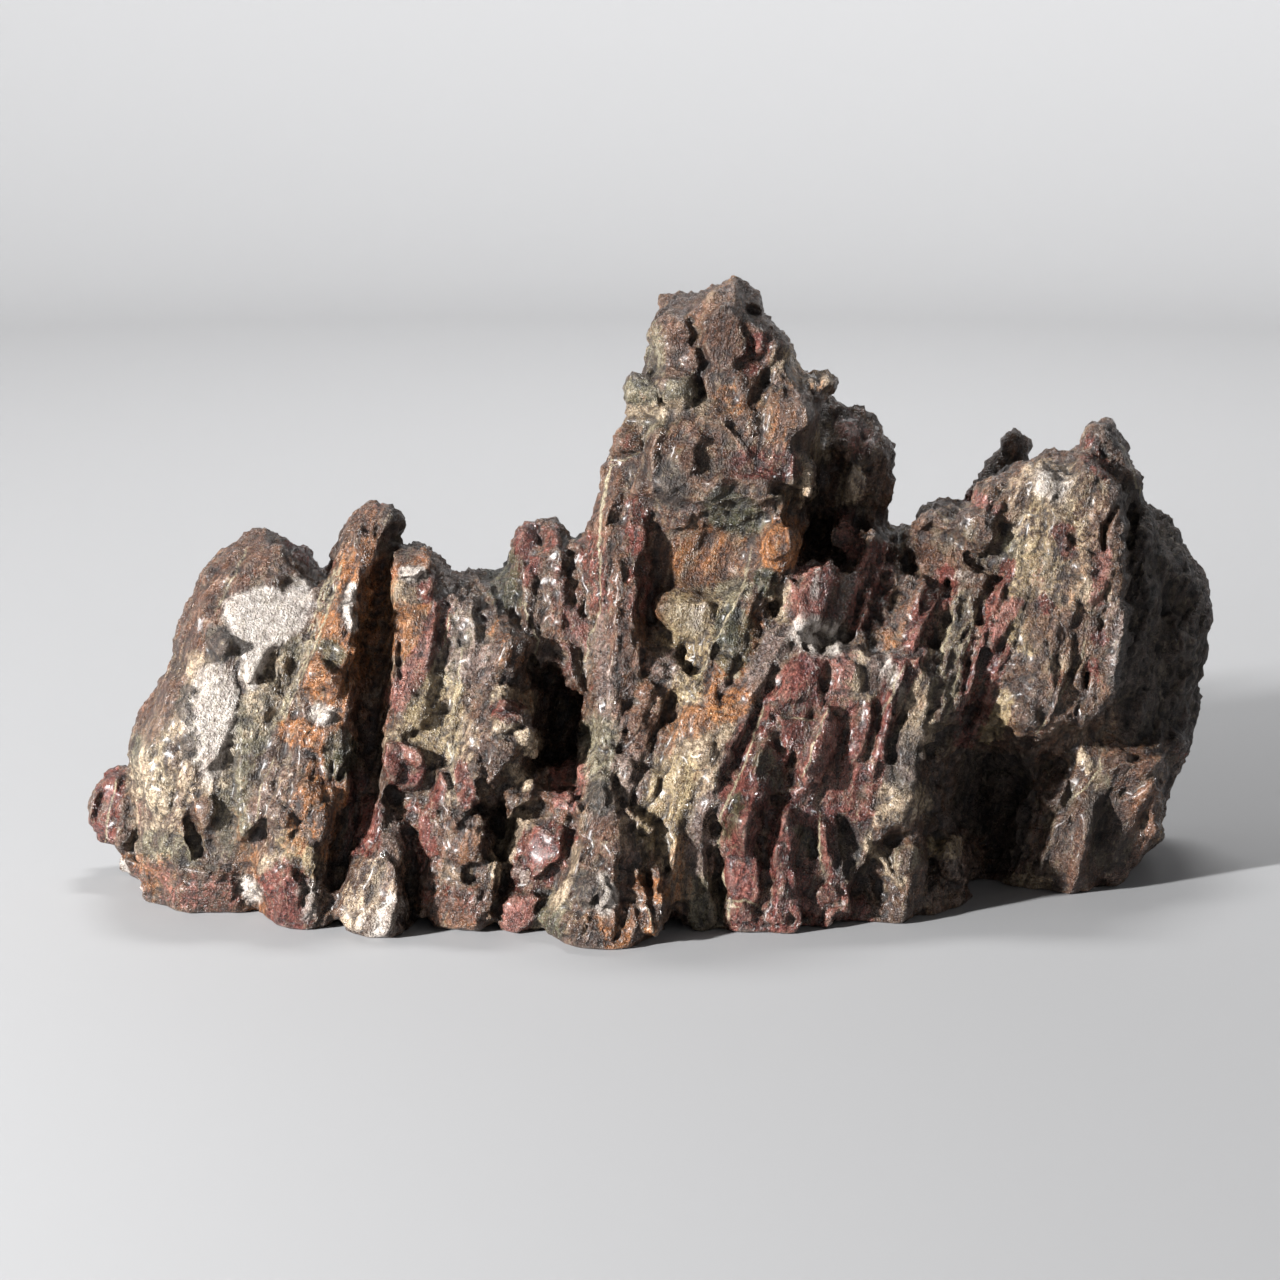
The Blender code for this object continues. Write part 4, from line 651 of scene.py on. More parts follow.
# Flat-faced crags that meet in sharp creases, one to a cell: the highest of the cells' pyramids, each at a random
# height and tilt and falling with the sum of the distances across, along and up
def crags(points, size, seed, tilt, fall):
    places = (points / np.asarray(size)).astype(np.float32)
    corner = np.floor(places)
    highest = np.full(len(points), -9.0, np.float32)
    for step in ((a, b, c) for a in (-1, 0, 1) for b in (-1, 0, 1) for c in (-1, 0, 1)):
        cell = corner + np.array(step, np.float32)
        number = mixedNumber(cell, seed)
        gap = places - cell - (np.stack(threeWays(number), axis=1) * cragShape["scatter"] + 0.5)
        lean = threeWays(number * np.uint32(mixers["second"]))
        height = tilt * (lean[1] * gap[:, 0] + lean[2] * gap[:, 2] + lean[0] * gap[:, 1])
        height = cragShape["heights"] * lean[0] + height
        height -= fall * np.abs(gap).sum(axis=1)
        highest = np.maximum(highest, height)
    return highest + fall * cragShape["fallShare"] - cragShape["step"]


# 0 below low, 1 above high, and 3t^2 - 2t^3 between
def smoothStep(low, high, value):
    t = np.clip((value - low) / (high - low), 0.0, 1.0)
    return t * t * (3 - 2 * t)


eye, aim = np.array(camera["eye"]) * 1000, np.array(camera["aim"]) * 1000
ahead = (aim - eye) / np.linalg.norm(aim - eye)
rightWay = np.cross(ahead, (0, 0, 1))
rightWay = rightWay / np.linalg.norm(rightWay)
upWay = np.cross(rightWay, ahead)
pixelsPerSlope = camera["framePixels"] * camera["lens"] / camera["sensor"]
pixelSize = float(np.linalg.norm(aim - eye)) / pixelsPerSlope   # millimetres that a pixel covers on the stone


# Where a point in millimetres is seen: pixels across and down, and its depth along the view
def seenAt(points):
    way = points - eye
    depth = way @ ahead
    half = camera["framePixels"] / 2
    return half + pixelsPerSlope * (way @ rightWay) / depth, half - pixelsPerSlope * (way @ upWay) / depth, depth


# The leaning strata's own directions: across them, into the rock and along them, bent by slow rolling
def strataPlaces(points):
    lean = np.radians(rock["strataLean"])
    bend = rock["strataWander"] * rolling(points, rock["wanderSizes"], rock["wanderSeed"])
    x, y, z = points.T
    return np.stack([x * np.cos(lean) - z * np.sin(lean) + bend, y, x * np.sin(lean) + z * np.cos(lean)], axis=1)


# One field of a mesh's items as an array, a row to each item where the field has more than one number
def column(items, field, width, kind=np.float32):
    values = np.empty(len(items) * width, kind)
    items.foreach_get(field, values)
    return values.reshape(-1, width) if width > 1 else values


# The mesh's points put at places in millimetres
def putPoints(mesh, points):
    mesh.vertices.foreach_set("co", (points / 1000).astype(np.float32).ravel())
    mesh.update()


# Each point's value averaged with its neighbours' along the edges, a few times over
def evened(values, edges, passes):
    values = np.asarray(values, np.float64)
    table = values.reshape(len(values), -1)
    count = len(table)
    degree = np.bincount(edges.ravel(), minlength=count).clip(1)
    for _ in range(passes):
        around = [np.bincount(edges[:, 0], part[edges[:, 1]], count)
                  + np.bincount(edges[:, 1], part[edges[:, 0]], count) for part in table.T]
        table = np.stack(around, axis=1) / degree[:, None]
    return table.reshape(values.shape)


# The thing's mesh with its modifiers worked in
def applied(thing):
    mesh = bpy.data.meshes.new_from_object(thing.evaluated_get(bpy.context.evaluated_depsgraph_get()))
    thing.modifiers.clear()
    old = thing.data
    thing.data = mesh
    bpy.data.meshes.remove(old)
    return mesh


# Distance in millimetres from a path through pixels, plus on the right of a path that runs down, and how far
# along the path the nearest place is, from 0 to 1
def fromPath(across, down, path):
    corners = np.array(path, float)
    lengths = np.hypot(*(corners[1:] - corners[:-1]).T)
    nearest = np.full(len(across), 1e9)
    side = np.ones(len(across))
    along = np.zeros(len(across))
    done = 0.0
    for start, end, length in zip(corners[:-1], corners[1:], lengths):
        way = (end - start) / length
        x, y = across - start[0], down - start[1]
        t = np.clip(x * way[0] + y * way[1], 0.0, length)
        away = np.hypot(x - t * way[0], y - t * way[1])
        nearer = away < nearest
        nearest = np.where(nearer, away, nearest)
        side = np.where(nearer, np.sign(x * way[1] - y * way[0]), side)
        along = np.where(nearer, (done + t) / lengths.sum(), along)
        done += length
    return nearest * side * pixelSize, along


# Distance in millimetres inside a closed outline through pixels, less than 0 outside it
def insideOutline(across, down, outline):
    ring = list(outline) + [outline[0]]
    away = np.abs(fromPath(across, down, ring)[0])
    crossings = np.zeros(len(across), bool)
    for (ax, ay), (bx, by) in zip(ring[:-1], ring[1:]):
        if ay != by:
            crossings ^= ((ay > down) != (by > down)) & (across < ax + (down - ay) * (bx - ax) / (by - ay))
    return np.where(crossings, away, -away)


# The way from each point to the eye, and how squarely the point faces it: the cosine between way and normal
def facingEye(points, normals):
    toEye = (eye - points) / np.linalg.norm(eye - points, axis=1)[:, None]
    return toEye, (normals * toEye).sum(axis=1)


# The points of the front that lie near some pixels, as seen through outlines roughened by rolling relief
class FrontView:
    def __init__(self, points, normals):
        self.across, self.down, self.depth = seenAt(points)
        self.toEye, self.facing = facingEye(points, normals)
        self.roughAcross = self.across + self.frayed(points, frontWindow["seedAcross"])
        self.roughDown = self.down + self.frayed(points, frontWindow["seedDown"])
        self.front = np.flatnonzero(self.facing > turnedAway)

    # Pixels by which a place is moved to and fro, so that an outline drawn over it comes out ragged
    def frayed(self, points, seed):
        return sum(reach * rolling(points, size * pixelSize, seed)
                   for reach, size in (frontWindow["ragged"], frontWindow["frayed"]))

    # Numbers of the front's points in the upright box round a path, wider by a reach in millimetres
    def near(self, path, reach):
        corners = np.array(path, float)
        low, high = corners.min(axis=0) - reach / pixelSize, corners.max(axis=0) + reach / pixelSize
        x, y = self.across[self.front], self.down[self.front]
        return self.front[(x > low[0]) & (x < high[0]) & (y > low[1]) & (y < high[1])]


# The rough solid, melted so that its flat faces are gone
def roughRock():
    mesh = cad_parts["stone"].data.copy()
    welded = bmesh.new()
    welded.from_mesh(mesh)
    bmesh.ops.remove_doubles(welded, verts=welded.verts, dist=rock["weld"] / 1000)
    welded.to_mesh(mesh)
    welded.free()
    mesh.materials.clear()
    thing = bpy.data.objects.new("viewingStone", mesh)
    bpy.context.scene.collection.objects.link(thing)
    skinned(thing, rock["firstSkin"])
    soften = thing.modifiers.new("Soften", "SMOOTH")
    soften.iterations = rock["meltPasses"]
    soften.factor = rock["meltStrength"]
    applied(thing)
    return thing


# A new skin of squares of about the given size in millimetres over the whole thing
def skinned(thing, step):
    remesh = thing.modifiers.new("Skin", "REMESH")
    remesh.mode = "VOXEL"
    remesh.voxel_size = step / 1000


# How forms are worked out: shares of a form's own size unless said otherwise
formRules = {
    "knobReach": 1.6,          # how far from a form its points are sought
    "edgeReach": 1.3,
    "spare": 2.0,              # and millimetres more
    "ends": 0.14,              # part of a ridge's length over which it fades at each end
    "creaseDepth": 0.25,       # the crease round a knob: a share of its height, its place and its width
    "creasePlace": 1.1,
    "creaseWidth": 0.3,
    "edgeOut": 0.3,            # how far outside the outline a form begins
    "planeShare": 0.5,         # which points a plane is fitted to: their share of the form
    "fillFacing": 0.1,         # and how squarely they face the eye
    "blockFacing": 0.15,
    "fillRounds": 4,           # rounds that drop what lies behind a fill's plane by more than this, in millimetres
    "fillBehind": 0.5,
    "fillLevel": 15,           # percentile of the depths at which a fill with its own slope lies
    "fillRise": 10.0,          # most that a fill raises, in millimetres, and one with its own slope
    "slopedRise": 20.0,
    "fewest": 12,              # points that a block's plane needs
    "blockDepth": 12.0,        # millimetres either way of the middle depth that count for its plane
    "blockPress": 3.0,         # and that the block sinks or raises the rock at most
}


# Height towards the eye of one form at each point of the view, in millimetres. A ridge rises in a straight line
# to its crest and falls again, a groove is a ridge turned in, a knob is h * sqrt(1 - r^2) with a crease round it,
# a hollow has a flat bottom, a block presses the skin to a tilted plane, and a fill raises what lies behind the
# plane of the foremost rock, or of a plane that falls back by its last value towards the right.
def formHeight(view, kind, path, size, height, last):
    reach = max(size) * formRules["knobReach"] if kind == "knob" else size * formRules["edgeReach"]
    chosen = view.near(path, reach + formRules["spare"])
    x, y, depth = view.roughAcross[chosen], view.roughDown[chosen], view.depth[chosen]
    if kind in ("ridge", "groove"):
        side, along = fromPath(x, y, path)
        place = np.clip(side / size, -1, 1)
        rise = np.where(place < last, (place + 1) / (last + 1), (1 - place) / (1 - last))
        rise = rise * smoothStep(0.0, formRules["ends"], along) * smoothStep(0.0, formRules["ends"], 1 - along)
        return chosen, rise * (height if kind == "ridge" else -height)
    if kind == "knob":
        lean = np.radians(last)
        right, low = (x - path[0][0]) * pixelSize, (y - path[0][1]) * pixelSize
        first = (right * np.cos(lean) + low * np.sin(lean)) / size[0]
        second = (low * np.cos(lean) - right * np.sin(lean)) / size[1]
        away = first ** 2 + second ** 2
        crease = np.maximum(0, 1 - np.abs(np.sqrt(away) - formRules["creasePlace"]) / formRules["creaseWidth"])
        return chosen, height * np.sqrt(np.maximum(0, 1 - away)) - formRules["creaseDepth"] * height * crease
    share = smoothStep(0.0, size, insideOutline(x, y, path) + size * formRules["edgeOut"])
    if kind == "hollow":
        return chosen, -height * share
    if kind == "fill":
        within = (share > formRules["planeShare"]) & (view.facing[chosen] > formRules["fillFacing"])
        table = np.stack([np.ones(len(x)), x, y], axis=1)
        for _ in range(formRules["fillRounds"]):
            plane = np.linalg.lstsq(table[within], depth[within], rcond=None)[0]
            within &= depth < table @ plane + formRules["fillBehind"]
        if last:
            plane[1] = last * pixelSize
            level = (depth - table[:, 1:] @ plane[1:])[share > formRules["planeShare"]]
            plane[0] = np.percentile(level, formRules["fillLevel"])
        most = formRules["slopedRise" if last else "fillRise"]
        return chosen, share * np.clip(depth - table @ plane + height, 0.0, most)
    middle = np.array(path, float).mean(axis=0)
    right, low = (x - middle[0]) * pixelSize, (y - middle[1]) * pixelSize
    table = np.stack([np.ones(len(x)), right, low], axis=1)
    within = (share > formRules["planeShare"]) & (view.facing[chosen] > formRules["blockFacing"])
    if within.sum() < formRules["fewest"]:
        return chosen, share * 0.0
    within &= np.abs(depth - np.median(depth[within])) < formRules["blockDepth"]
    plane = np.linalg.lstsq(table[within], depth[within], rcond=None)[0]
    plane[1:] = np.clip(plane[1:], -1.0, 1.0)
    plane -= (height, np.tan(np.radians(last[0])), np.tan(np.radians(last[1])))
    press = formRules["blockPress"]
    return chosen, share * np.clip(depth - table @ plane, -press, press + height)


# The outline pulled at some places, square to the line of sight: each pull fades as exp(-(distance / reach)^2)
def pullOutline(thing):
    mesh = thing.data
    points = column(mesh.vertices, "co", 3).astype(np.float64) * 1000
    across, down, depth = seenAt(points)
    for start, end, reach in nudges.values():
        distance = (across - start[0]) ** 2 + (down - start[1]) ** 2
        share = np.exp(-distance / reach ** 2) * smoothStep(0, 3, points[:, 2])
        way = (end[0] - start[0]) * rightWay - (end[1] - start[1]) * upWay
        points = points + (share * depth / pixelsPerSlope)[:, None] * way
    points[:, 2] = points[:, 2].clip(0)
    putPoints(mesh, points)
    print("outline pulled at", len(nudges), "places")


# The forms of the front pressed into the skin along the lines of sight
def shapeFront(thing):
    mesh = thing.data
    points = column(mesh.vertices, "co", 3).astype(np.float64) * 1000
    view = FrontView(points, column(mesh.vertices, "normal", 3))
    total = np.zeros(len(points))
    share = smoothStep(*rock["formFade"], view.facing) * smoothStep(0.0, rock["floorBlend"], points[:, 2])
    vary = 1.0 + rock["formVary"] * rolling(points, rock["formVarySize"], rock["formVarySeed"])
    for kind, path, size, height, last in forms.values():
        chosen, rise = formHeight(view, kind, path, size, height, last)
        rise = rise * share[chosen]
        if kind not in ("block", "fill"):
            rise = rise * rock["sunkStrength" if kind in ("groove", "hollow") else "formStrength"] * vary[chosen]
        total[chosen] += rise
        view.depth[chosen] -= rise
    points += view.toEye * np.clip(total, *rock["formLimits"])[:, None]
    putPoints(mesh, points)
    skinned(thing, rock["skinStep"])
    applied(thing)
    print(len(forms), "forms pressed into the front:", len(thing.data.vertices), "points")


# The finer relief, all in millimetres along the strata's directions: height, size of a cell, random seed, and then
# a crag's tilt and fall, or how wide a crease is
relief = {
    "largeCrags": (1.0, (9, 10, 15), 11, 1.0, 1.2),
    "middleCrags": (0.8, (4.4, 5.2, 7.4), 13, 1.2, 1.5),
    "smallCrags": (0.62, (2.4, 2.7, 3.5), 14, 1.2, 1.6),
    "streaks": (0.55, (2.7, 9, 13), 12),
    "longCreases": (0.6, (4.8, 9, 16), 18, 0.17),
    "crossCreases": (0.45, (7, 6, 4), 19, 0.13),
    "grain": (0.25, (1.5, 1.7, 1.9), 15),
    "sink": 0.3,
}


# Height of the finer relief at each point, in millimetres: crags in three sizes, ridges along the strata, thin
# creases along and across them where slow rolling passes zero, and grain
def rockRelief(points, calm, streaked, front):
    strata = strataPlaces(points)
    height, size, seed, tilt, fall = relief["largeCrags"]
    total = height * (1 - rock["frontCrags"] * front) * crags(strata, size, seed, tilt, fall)
    height, size, seed = relief["streaks"]
    total += height * streaked * (0.30 - np.abs(rolling(strata, size, seed)) * 1.8)
    for height, size, seed, width in (relief["longCreases"], relief["crossCreases"]):
        total -= height * np.clip(1 - np.abs(rolling(strata, size, seed)) / width, 0, 1)
    for height, size, seed, tilt, fall in (relief["middleCrags"], relief["smallCrags"]):
        total += height * crags(strata, size, seed, tilt, fall)
    height, size, seed = relief["grain"]
    total += height * layered(strata, size, seed, 2)
    return total * calm - relief["sink"]


# How much each kind of form holds the finer relief back on itself, and where that fades: in millimetres inside a
# block's outline, else in shares of the form's size
calmForms = {"block": (0.75, (-0.3, 1.0)), "knob": (0.5, (0.6, 1.0)), "ridge": (0.5, (0.6, 1.1))}

# Pixels across over which the streaks come in on the left and go out on the right, and their share outside
streakPlaces = {"left": (300, 360), "right": (1010, 950), "least": 0.35, "more": 0.65}


# The finer relief put on the whole skin, which stays inside the solid's box and flat underneath
def shapeSkin(thing):
    mesh = thing.data
    points = column(mesh.vertices, "co", 3).astype(np.float64) * 1000
    edges = column(mesh.edges, "vertices", 2, np.int32)
    normals = column(mesh.vertices, "normal", 3)
    calm = evened(normals, edges, rock["calmPasses"])
    calm /= np.linalg.norm(calm, axis=1)[:, None].clip(1e-6)
    view = FrontView(points, normals)
    smooth = np.ones(len(points))
    for gain, outline in reliefFields:
        chosen = view.near(outline, rock["fieldNear"])
        inside = insideOutline(view.roughAcross[chosen], view.roughDown[chosen], outline)
        inside = smoothStep(*rock["fieldEdge"], inside)
        smooth[chosen] *= 1 + (gain - 1) * inside * smoothStep(*rock["fieldFade"], view.facing[chosen])
    for kind, path, size, height, last in forms.values():
        if kind not in calmForms:
            continue
        chosen = view.near(path, rock["calmNear"])
        x, y = view.roughAcross[chosen], view.roughDown[chosen]
        held, fade = calmForms[kind]
        if kind == "block":
            share = smoothStep(*fade, insideOutline(x, y, path))
        elif kind == "knob":
            share = 1 - smoothStep(*fade, np.hypot(x - path[0][0], y - path[0][1]) * pixelSize / max(size))
        else:
            share = 1 - smoothStep(*fade, np.abs(fromPath(x, y, path)[0]) / size)
        smooth[chosen] *= 1 - held * share * smoothStep(*rock["calmFade"], view.facing[chosen])
    above = smoothStep(0.0, rock["floorBlend"], points[:, 2])
    streaked = streakPlaces["more"] * smoothStep(*streakPlaces["left"], view.across)
    streaked = streakPlaces["least"] + streaked * smoothStep(*streakPlaces["right"], view.across)
    height = rockRelief(points, smooth, streaked, smoothStep(*rock["cragsFade"], view.facing)) * above
    points = points + calm * height[:, None]
    low, high = (np.array(corner) * 1000 for corner in cadBox)
    room = rock["edgeRoom"]
    points = high - room * np.logaddexp(0, (high - points) / room)
    farBelow = -1000.0   # the box's own floor is cut flat after this, so it isn't softened
    base = np.array([low[0], low[1], farBelow])
    points = base + room * np.logaddexp(0, (points - base) / room)
    points[:, 2] = np.clip(points[:, 2], 0.0, None)
    putPoints(mesh, points)
    print("relief put on", len(points), "points")


# A face of n corners counts as n - 2 triangles
def triangleCount(mesh):
    return int((column(mesh.polygons, "loop_total", 1, np.int32) - 2).sum())


# Fewer triangles: first those that face away from the front view, down to their own number, then the rest
def fewerTriangles(thing):
    for behind in (True, False):
        mesh = thing.data
        points = column(mesh.vertices, "co", 3).astype(np.float64) * 1000
        away = facingEye(points, column(mesh.vertices, "normal", 3))[1] < turnedAway
        thinned = np.flatnonzero(away == behind)
        group = thing.vertex_groups.new(name="thinned")
        group.add(thinned.tolist(), 1.0, "REPLACE")
        kept = rock["trianglesBehind"] + 2 * (len(points) - len(thinned)) if behind else rock["triangles"]
        fewer = thing.modifiers.new("Fewer", "DECIMATE")
        fewer.ratio = min(1.0, kept / triangleCount(mesh))
        fewer.vertex_group = group.name
        mesh = applied(thing)
        thing.vertex_groups.clear()
    points = column(mesh.vertices, "co", 3).astype(np.float64)
    low, high = np.array(cadBox)
    putPoints(mesh, np.clip(points, low, high - rock["weld"] / 1000) * 1000)
    mesh.polygons.foreach_set("use_smooth", np.ones(len(mesh.polygons), bool))
    mesh.update()
    print("skin thinned to", triangleCount(mesh), "triangles and", len(points), "points")


# Minerals that the front shows, as runs (half width in millimetres, share from 0 to 1, path) and fields (share,
# outline), in pixels of the camera's frame. A share of 0.5 covers half of the place in flecks. The dark layer also
# lays painted shade, and the quartz layer painted glints.
minerals = {
    "sage": {
        "runs": [
            (4.0, 0.8, [(150, 735), (148, 770), (160, 800)]), (5.0, 0.75, [(285, 650), (262, 700), (248, 740)]),
            (4.5, 0.6, [(240, 755), (228, 800), (235, 840)]), (5.0, 0.75, [(600, 735), (600, 770), (612, 800)]),
            (3.6, 0.6, [(556, 905), (545, 925), (540, 940)]), (5.0, 0.75, [(638, 395), (655, 412), (682, 398)]),
            (3.4, 0.5, [(692, 490), (740, 487), (788, 490)]), (4.5, 0.7, [(702, 880), (706, 905), (708, 930)]),
            (3.4, 0.6, [(732, 912), (758, 920)]), (6.5, 0.48, [(985, 560), (970, 610), (955, 670), (940, 730)]),
            (5.0, 0.7, [(1015, 550), (1035, 562)]), (3.6, 0.45, [(885, 855), (915, 858)]),
            (3.0, 0.35, [(1100, 770), (1130, 760), (1162, 748)]), (3.0, 0.4, [(1066, 800), (1048, 838), (1032, 872)]),
            (6.0, 0.55, [(748, 750), (770, 770), (782, 790)]), (8.0, 0.42, [(910, 520), (950, 540), (985, 560)]),
            (3.0, 0.7, [(720, 600), (738, 590)]), (5.0, 0.6, [(150, 845), (185, 850)]), (3.0, 0.7, [(320, 640),
            (330, 655)]),
            (4.0, 0.6, [(462, 620), (452, 680)]), (4.0, 0.55, [(650, 330), (652, 365)]), (3.5, 0.55, [(1100, 790),
            (1090, 830)]),
        ],
        "fields": [],
    },
    "lilac": {
        "runs": [
            (2.2, 0.85, [(606, 615), (604, 660), (608, 705)]), (4.2, 0.8, [(640, 735), (632, 770), (622, 800)]),
            (5.6, 0.95, [(788, 632), (764, 675), (742, 705), (722, 745), (704, 790), (697, 850)]),
            (3.0, 0.5, [(285, 760), (270, 800), (262, 830)]), (3.0, 0.4, [(315, 745), (305, 800)]),
            (6.0, 0.6, [(668, 630), (665, 660)]), (6.0, 0.7, [(742, 815), (742, 838)]), (6.0, 0.7, [(612, 820),
            (614, 860)]),
            (8.0, 0.55, [(455, 620), (470, 660)]), (4.0, 0.6, [(395, 825), (385, 855)]), (4.0, 0.6, [(880, 660),
            (893, 690)]),
            (3.0, 0.6, [(1123, 610), (1117, 680)]), (4.0, 0.6, [(905, 760), (905, 800)]),
            (5.0, 0.5, [(985, 850), (968, 870)]), (4.0, 0.6, [(1110, 830), (1100, 870)]),
        ],
        "fields": [(0.7, [(671, 455), (680, 445), (698, 443), (698, 470), (686, 476), (673, 468)]),
            (0.75, [(790, 618), (835, 618), (836, 650), (812, 652), (790, 640)])],
    },
    "cream": {
        "runs": [
            (6.0, 0.56, [(402, 604), (412, 650)]), (5.0, 0.44, [(624, 812), (630, 890)]), (5.0, 0.46, [(690, 700),
            (672, 760)]),
            (1.4, 0.9, [(196, 655), (190, 700)]), (4.0, 0.55, [(270, 640), (255, 690)]), (2.2, 0.9, [(388, 590),
            (402, 592)]),
            (2.4, 0.9, [(500, 697), (527, 703)]), (2.6, 0.9, [(503, 725), (508, 726)]), (2.2, 0.85, [(528, 738),
            (532, 746)]),
            (5.0, 0.55, [(462, 735), (455, 790)]), (1.8, 0.9, [(435, 866), (465, 884)]), (3.0, 0.85, [(530, 812),
            (514, 835), (504, 868)]),
            (1.0, 0.8, [(584, 750), (580, 830), (570, 878), (550, 914), (534, 928)]), (4.0, 0.3, [(572, 922),
            (600, 930)]),
            (2.6, 0.6, [(625, 412), (655, 412), (680, 408)]), (1.5, 0.8, [(700, 420), (722, 427), (740, 446),
            (750, 460)]),
            (4.4, 0.6, [(782, 366), (815, 372)]), (3.2, 0.5, [(801, 464), (808, 480), (808, 497)]),
            (3.0, 0.8, [(780, 595), (788, 615)]),
            (6.5, 0.9, [(706, 728), (696, 745), (690, 765)]), (3.8, 0.55, [(672, 845), (678, 895)]),
            (2.2, 0.9, [(803, 790), (826, 792)]), (2.0, 0.8, [(806, 856), (820, 856)]), (3.6, 0.65, [(822, 905),
            (845, 918)]),
            (4.6, 0.9, [(1046, 480), (1058, 495)]), (2.8, 0.85, [(1086, 590), (1098, 592)]), (4.0, 0.7, [(915, 705),
            (916, 738)]),
            (5.0, 0.65, [(880, 805), (910, 798)]), (2.0, 0.8, [(955, 843), (957, 850)]), (3.0, 0.8, [(1005, 888),
            (1042, 888)]),
            (1.4, 0.8, [(864, 834), (882, 860), (900, 880)]), (1.6, 0.8, [(1080, 758), (1088, 768)]),
            (1.6, 0.8, [(1146, 778), (1158, 776)]),
            (2.2, 0.75, [(650, 600), (656, 610)]), (3.6, 0.55, [(868, 700), (866, 740)]), (3.0, 0.65, [(268, 868),
            (286, 862)]), (3.4, 0.5, [(285, 838), (305, 856)]),
            (2.0, 0.7, [(824, 428), (822, 458)]), (3.0, 0.7, [(852, 478), (848, 495)]), (3.0, 0.6, [(180, 700),
            (168, 730)]),
            (6.0, 0.52, [(1040, 600), (1070, 650)]), (3.0, 0.6, [(925, 640), (912, 690)]), (1.4, 0.85, [(378, 758),
            (386, 738), (404, 735)]),
            (3.0, 0.6, [(858, 660), (852, 700)]), (2.0, 0.7, [(512, 770), (526, 780)]),
        ],
        "fields": [
            (0.42, [(1004, 475), (1060, 456), (1108, 470), (1120, 560), (1100, 620), (1030, 600), (1010, 560)]),
            (0.52, [(150, 690), (185, 650), (212, 655), (240, 700), (235, 790), (195, 800), (175, 835), (132, 835),
            (125, 780)]),
            (0.5, [(240, 690), (300, 640), (292, 690), (268, 740), (240, 740)]),
            (0.5, [(333, 925), (343, 882), (360, 862), (380, 852), (397, 872), (401, 895), (397, 926), (383, 941),
            (350, 932)]),
            (1.0, [(656, 602), (690, 602), (703, 592), (714, 606), (710, 632), (698, 648), (682, 636), (660, 618)]),
        ],
    },
    "straw": {
        "runs": [
            (6.0, 0.8, [(425, 695), (430, 725), (420, 738)]), (5.4, 0.8, [(676, 775), (670, 800), (660, 830)]),
            (7.0, 0.54, [(1050, 505), (1055, 545), (1035, 580)]), (3.4, 0.85, [(998, 705), (986, 728)]),
            (3.4, 0.7, [(292, 845), (310, 862)]), (2.6, 0.7, [(938, 846), (943, 850)]), (4.0, 0.6, [(1000, 600),
            (1030, 640)]),
            (4.0, 0.66, [(700, 650), (688, 690)]), (5.0, 0.7, [(675, 612), (704, 610)]), (4.0, 0.66, [(672, 632),
            (708, 634)]), (2.0, 0.7, [(455, 690), (450, 750)]),
        ],
        "fields": [],
    },
    "rust": {
        "runs": [
            (3.6, 0.9, [(329, 626), (333, 634)]), (3.2, 0.85, [(290, 730), (320, 740), (343, 735)]),
            (3.0, 0.9, [(322, 770), (340, 778), (350, 792)]),
            (3.6, 0.85, [(250, 906), (264, 910)]), (4.0, 0.5, [(322, 800), (330, 850)]), (3.4, 0.5, [(300, 800),
            (294, 845)]), (5.0, 0.45, [(130, 870), (165, 873)]), (2.6, 0.6, [(352, 555), (345, 600)]),
            (4.4, 0.4, [(505, 630), (518, 655)]), (5.0, 0.36, [(450, 838), (475, 855)]), (4.0, 0.48, [(440, 900),
            (460, 925)]),
            (3.6, 0.9, [(637, 594), (640, 616)]), (3.4, 0.52, [(645, 560), (638, 680)]), (4.0, 0.4, [(786, 415),
            (782, 446)]),
            (3.4, 0.45, [(785, 378), (812, 382)]), (2.2, 0.9, [(755, 620), (746, 648)]), (3.0, 0.95, [(724, 662),
            (733, 668)]),
            (2.6, 0.6, [(716, 668), (708, 694)]), (3.4, 0.8, [(738, 702), (715, 712), (692, 722)]),
            (3.0, 0.45, [(682, 842), (680, 900)]),
            (3.0, 0.9, [(644, 888), (656, 892)]), (1.4, 0.8, [(642, 902), (652, 932)]), (2.6, 0.8, [(1132, 762),
            (1142, 764)]),
            (2.4, 0.6, [(560, 610), (556, 640)]), (2.2, 0.6, [(300, 898), (302, 912)]), (3.0, 0.55, [(245, 850),
            (250, 880)]),
            (5.0, 0.72, [(372, 575), (366, 640), (362, 700)]), (5.0, 0.6, [(610, 915), (618, 938)]),
            (3.2, 0.55, [(672, 725), (662, 745)]),
            (3.0, 0.5, [(905, 610), (890, 640)]), (3.0, 0.55, [(382, 515), (366, 550)]), (3.4, 0.5, [(725, 395),
            (745, 408)]),
        ],
        "fields": [
            (0.95, [(322, 642), (350, 652), (354, 690), (340, 714), (310, 706), (302, 680)]),
            (0.8, [(386, 602), (434, 604), (440, 622), (428, 650), (408, 664), (386, 656)]),
            (0.72, [(389, 547), (402, 543), (430, 546), (435, 572), (392, 578)]),
            (0.9, [(660, 534), (700, 526), (750, 530), (744, 574), (700, 588), (662, 586)]),
            (0.85, [(757, 545), (767, 521), (785, 512), (800, 519), (806, 540), (798, 562), (782, 575), (757, 563)]),
            (0.6, [(1101, 792), (1140, 782), (1166, 768), (1160, 830), (1132, 852), (1104, 846)]),
        ],
    },
    "brown": {
        "runs": [
            (6.0, 0.75, [(365, 512), (392, 520), (398, 540)]), (6.0, 0.7, [(250, 552), (225, 580), (200, 625)]),
            (5.0, 0.7, [(165, 690), (148, 720)]), (7.0, 0.75, [(640, 520), (640, 580), (632, 650)]),
            (5.0, 0.7, [(632, 715), (640, 730)]),
            (7.0, 0.7, [(560, 800), (556, 812)]), (8.0, 0.65, [(720, 330), (745, 350)]), (5.0, 0.7, [(665, 515),
            (680, 530)]),
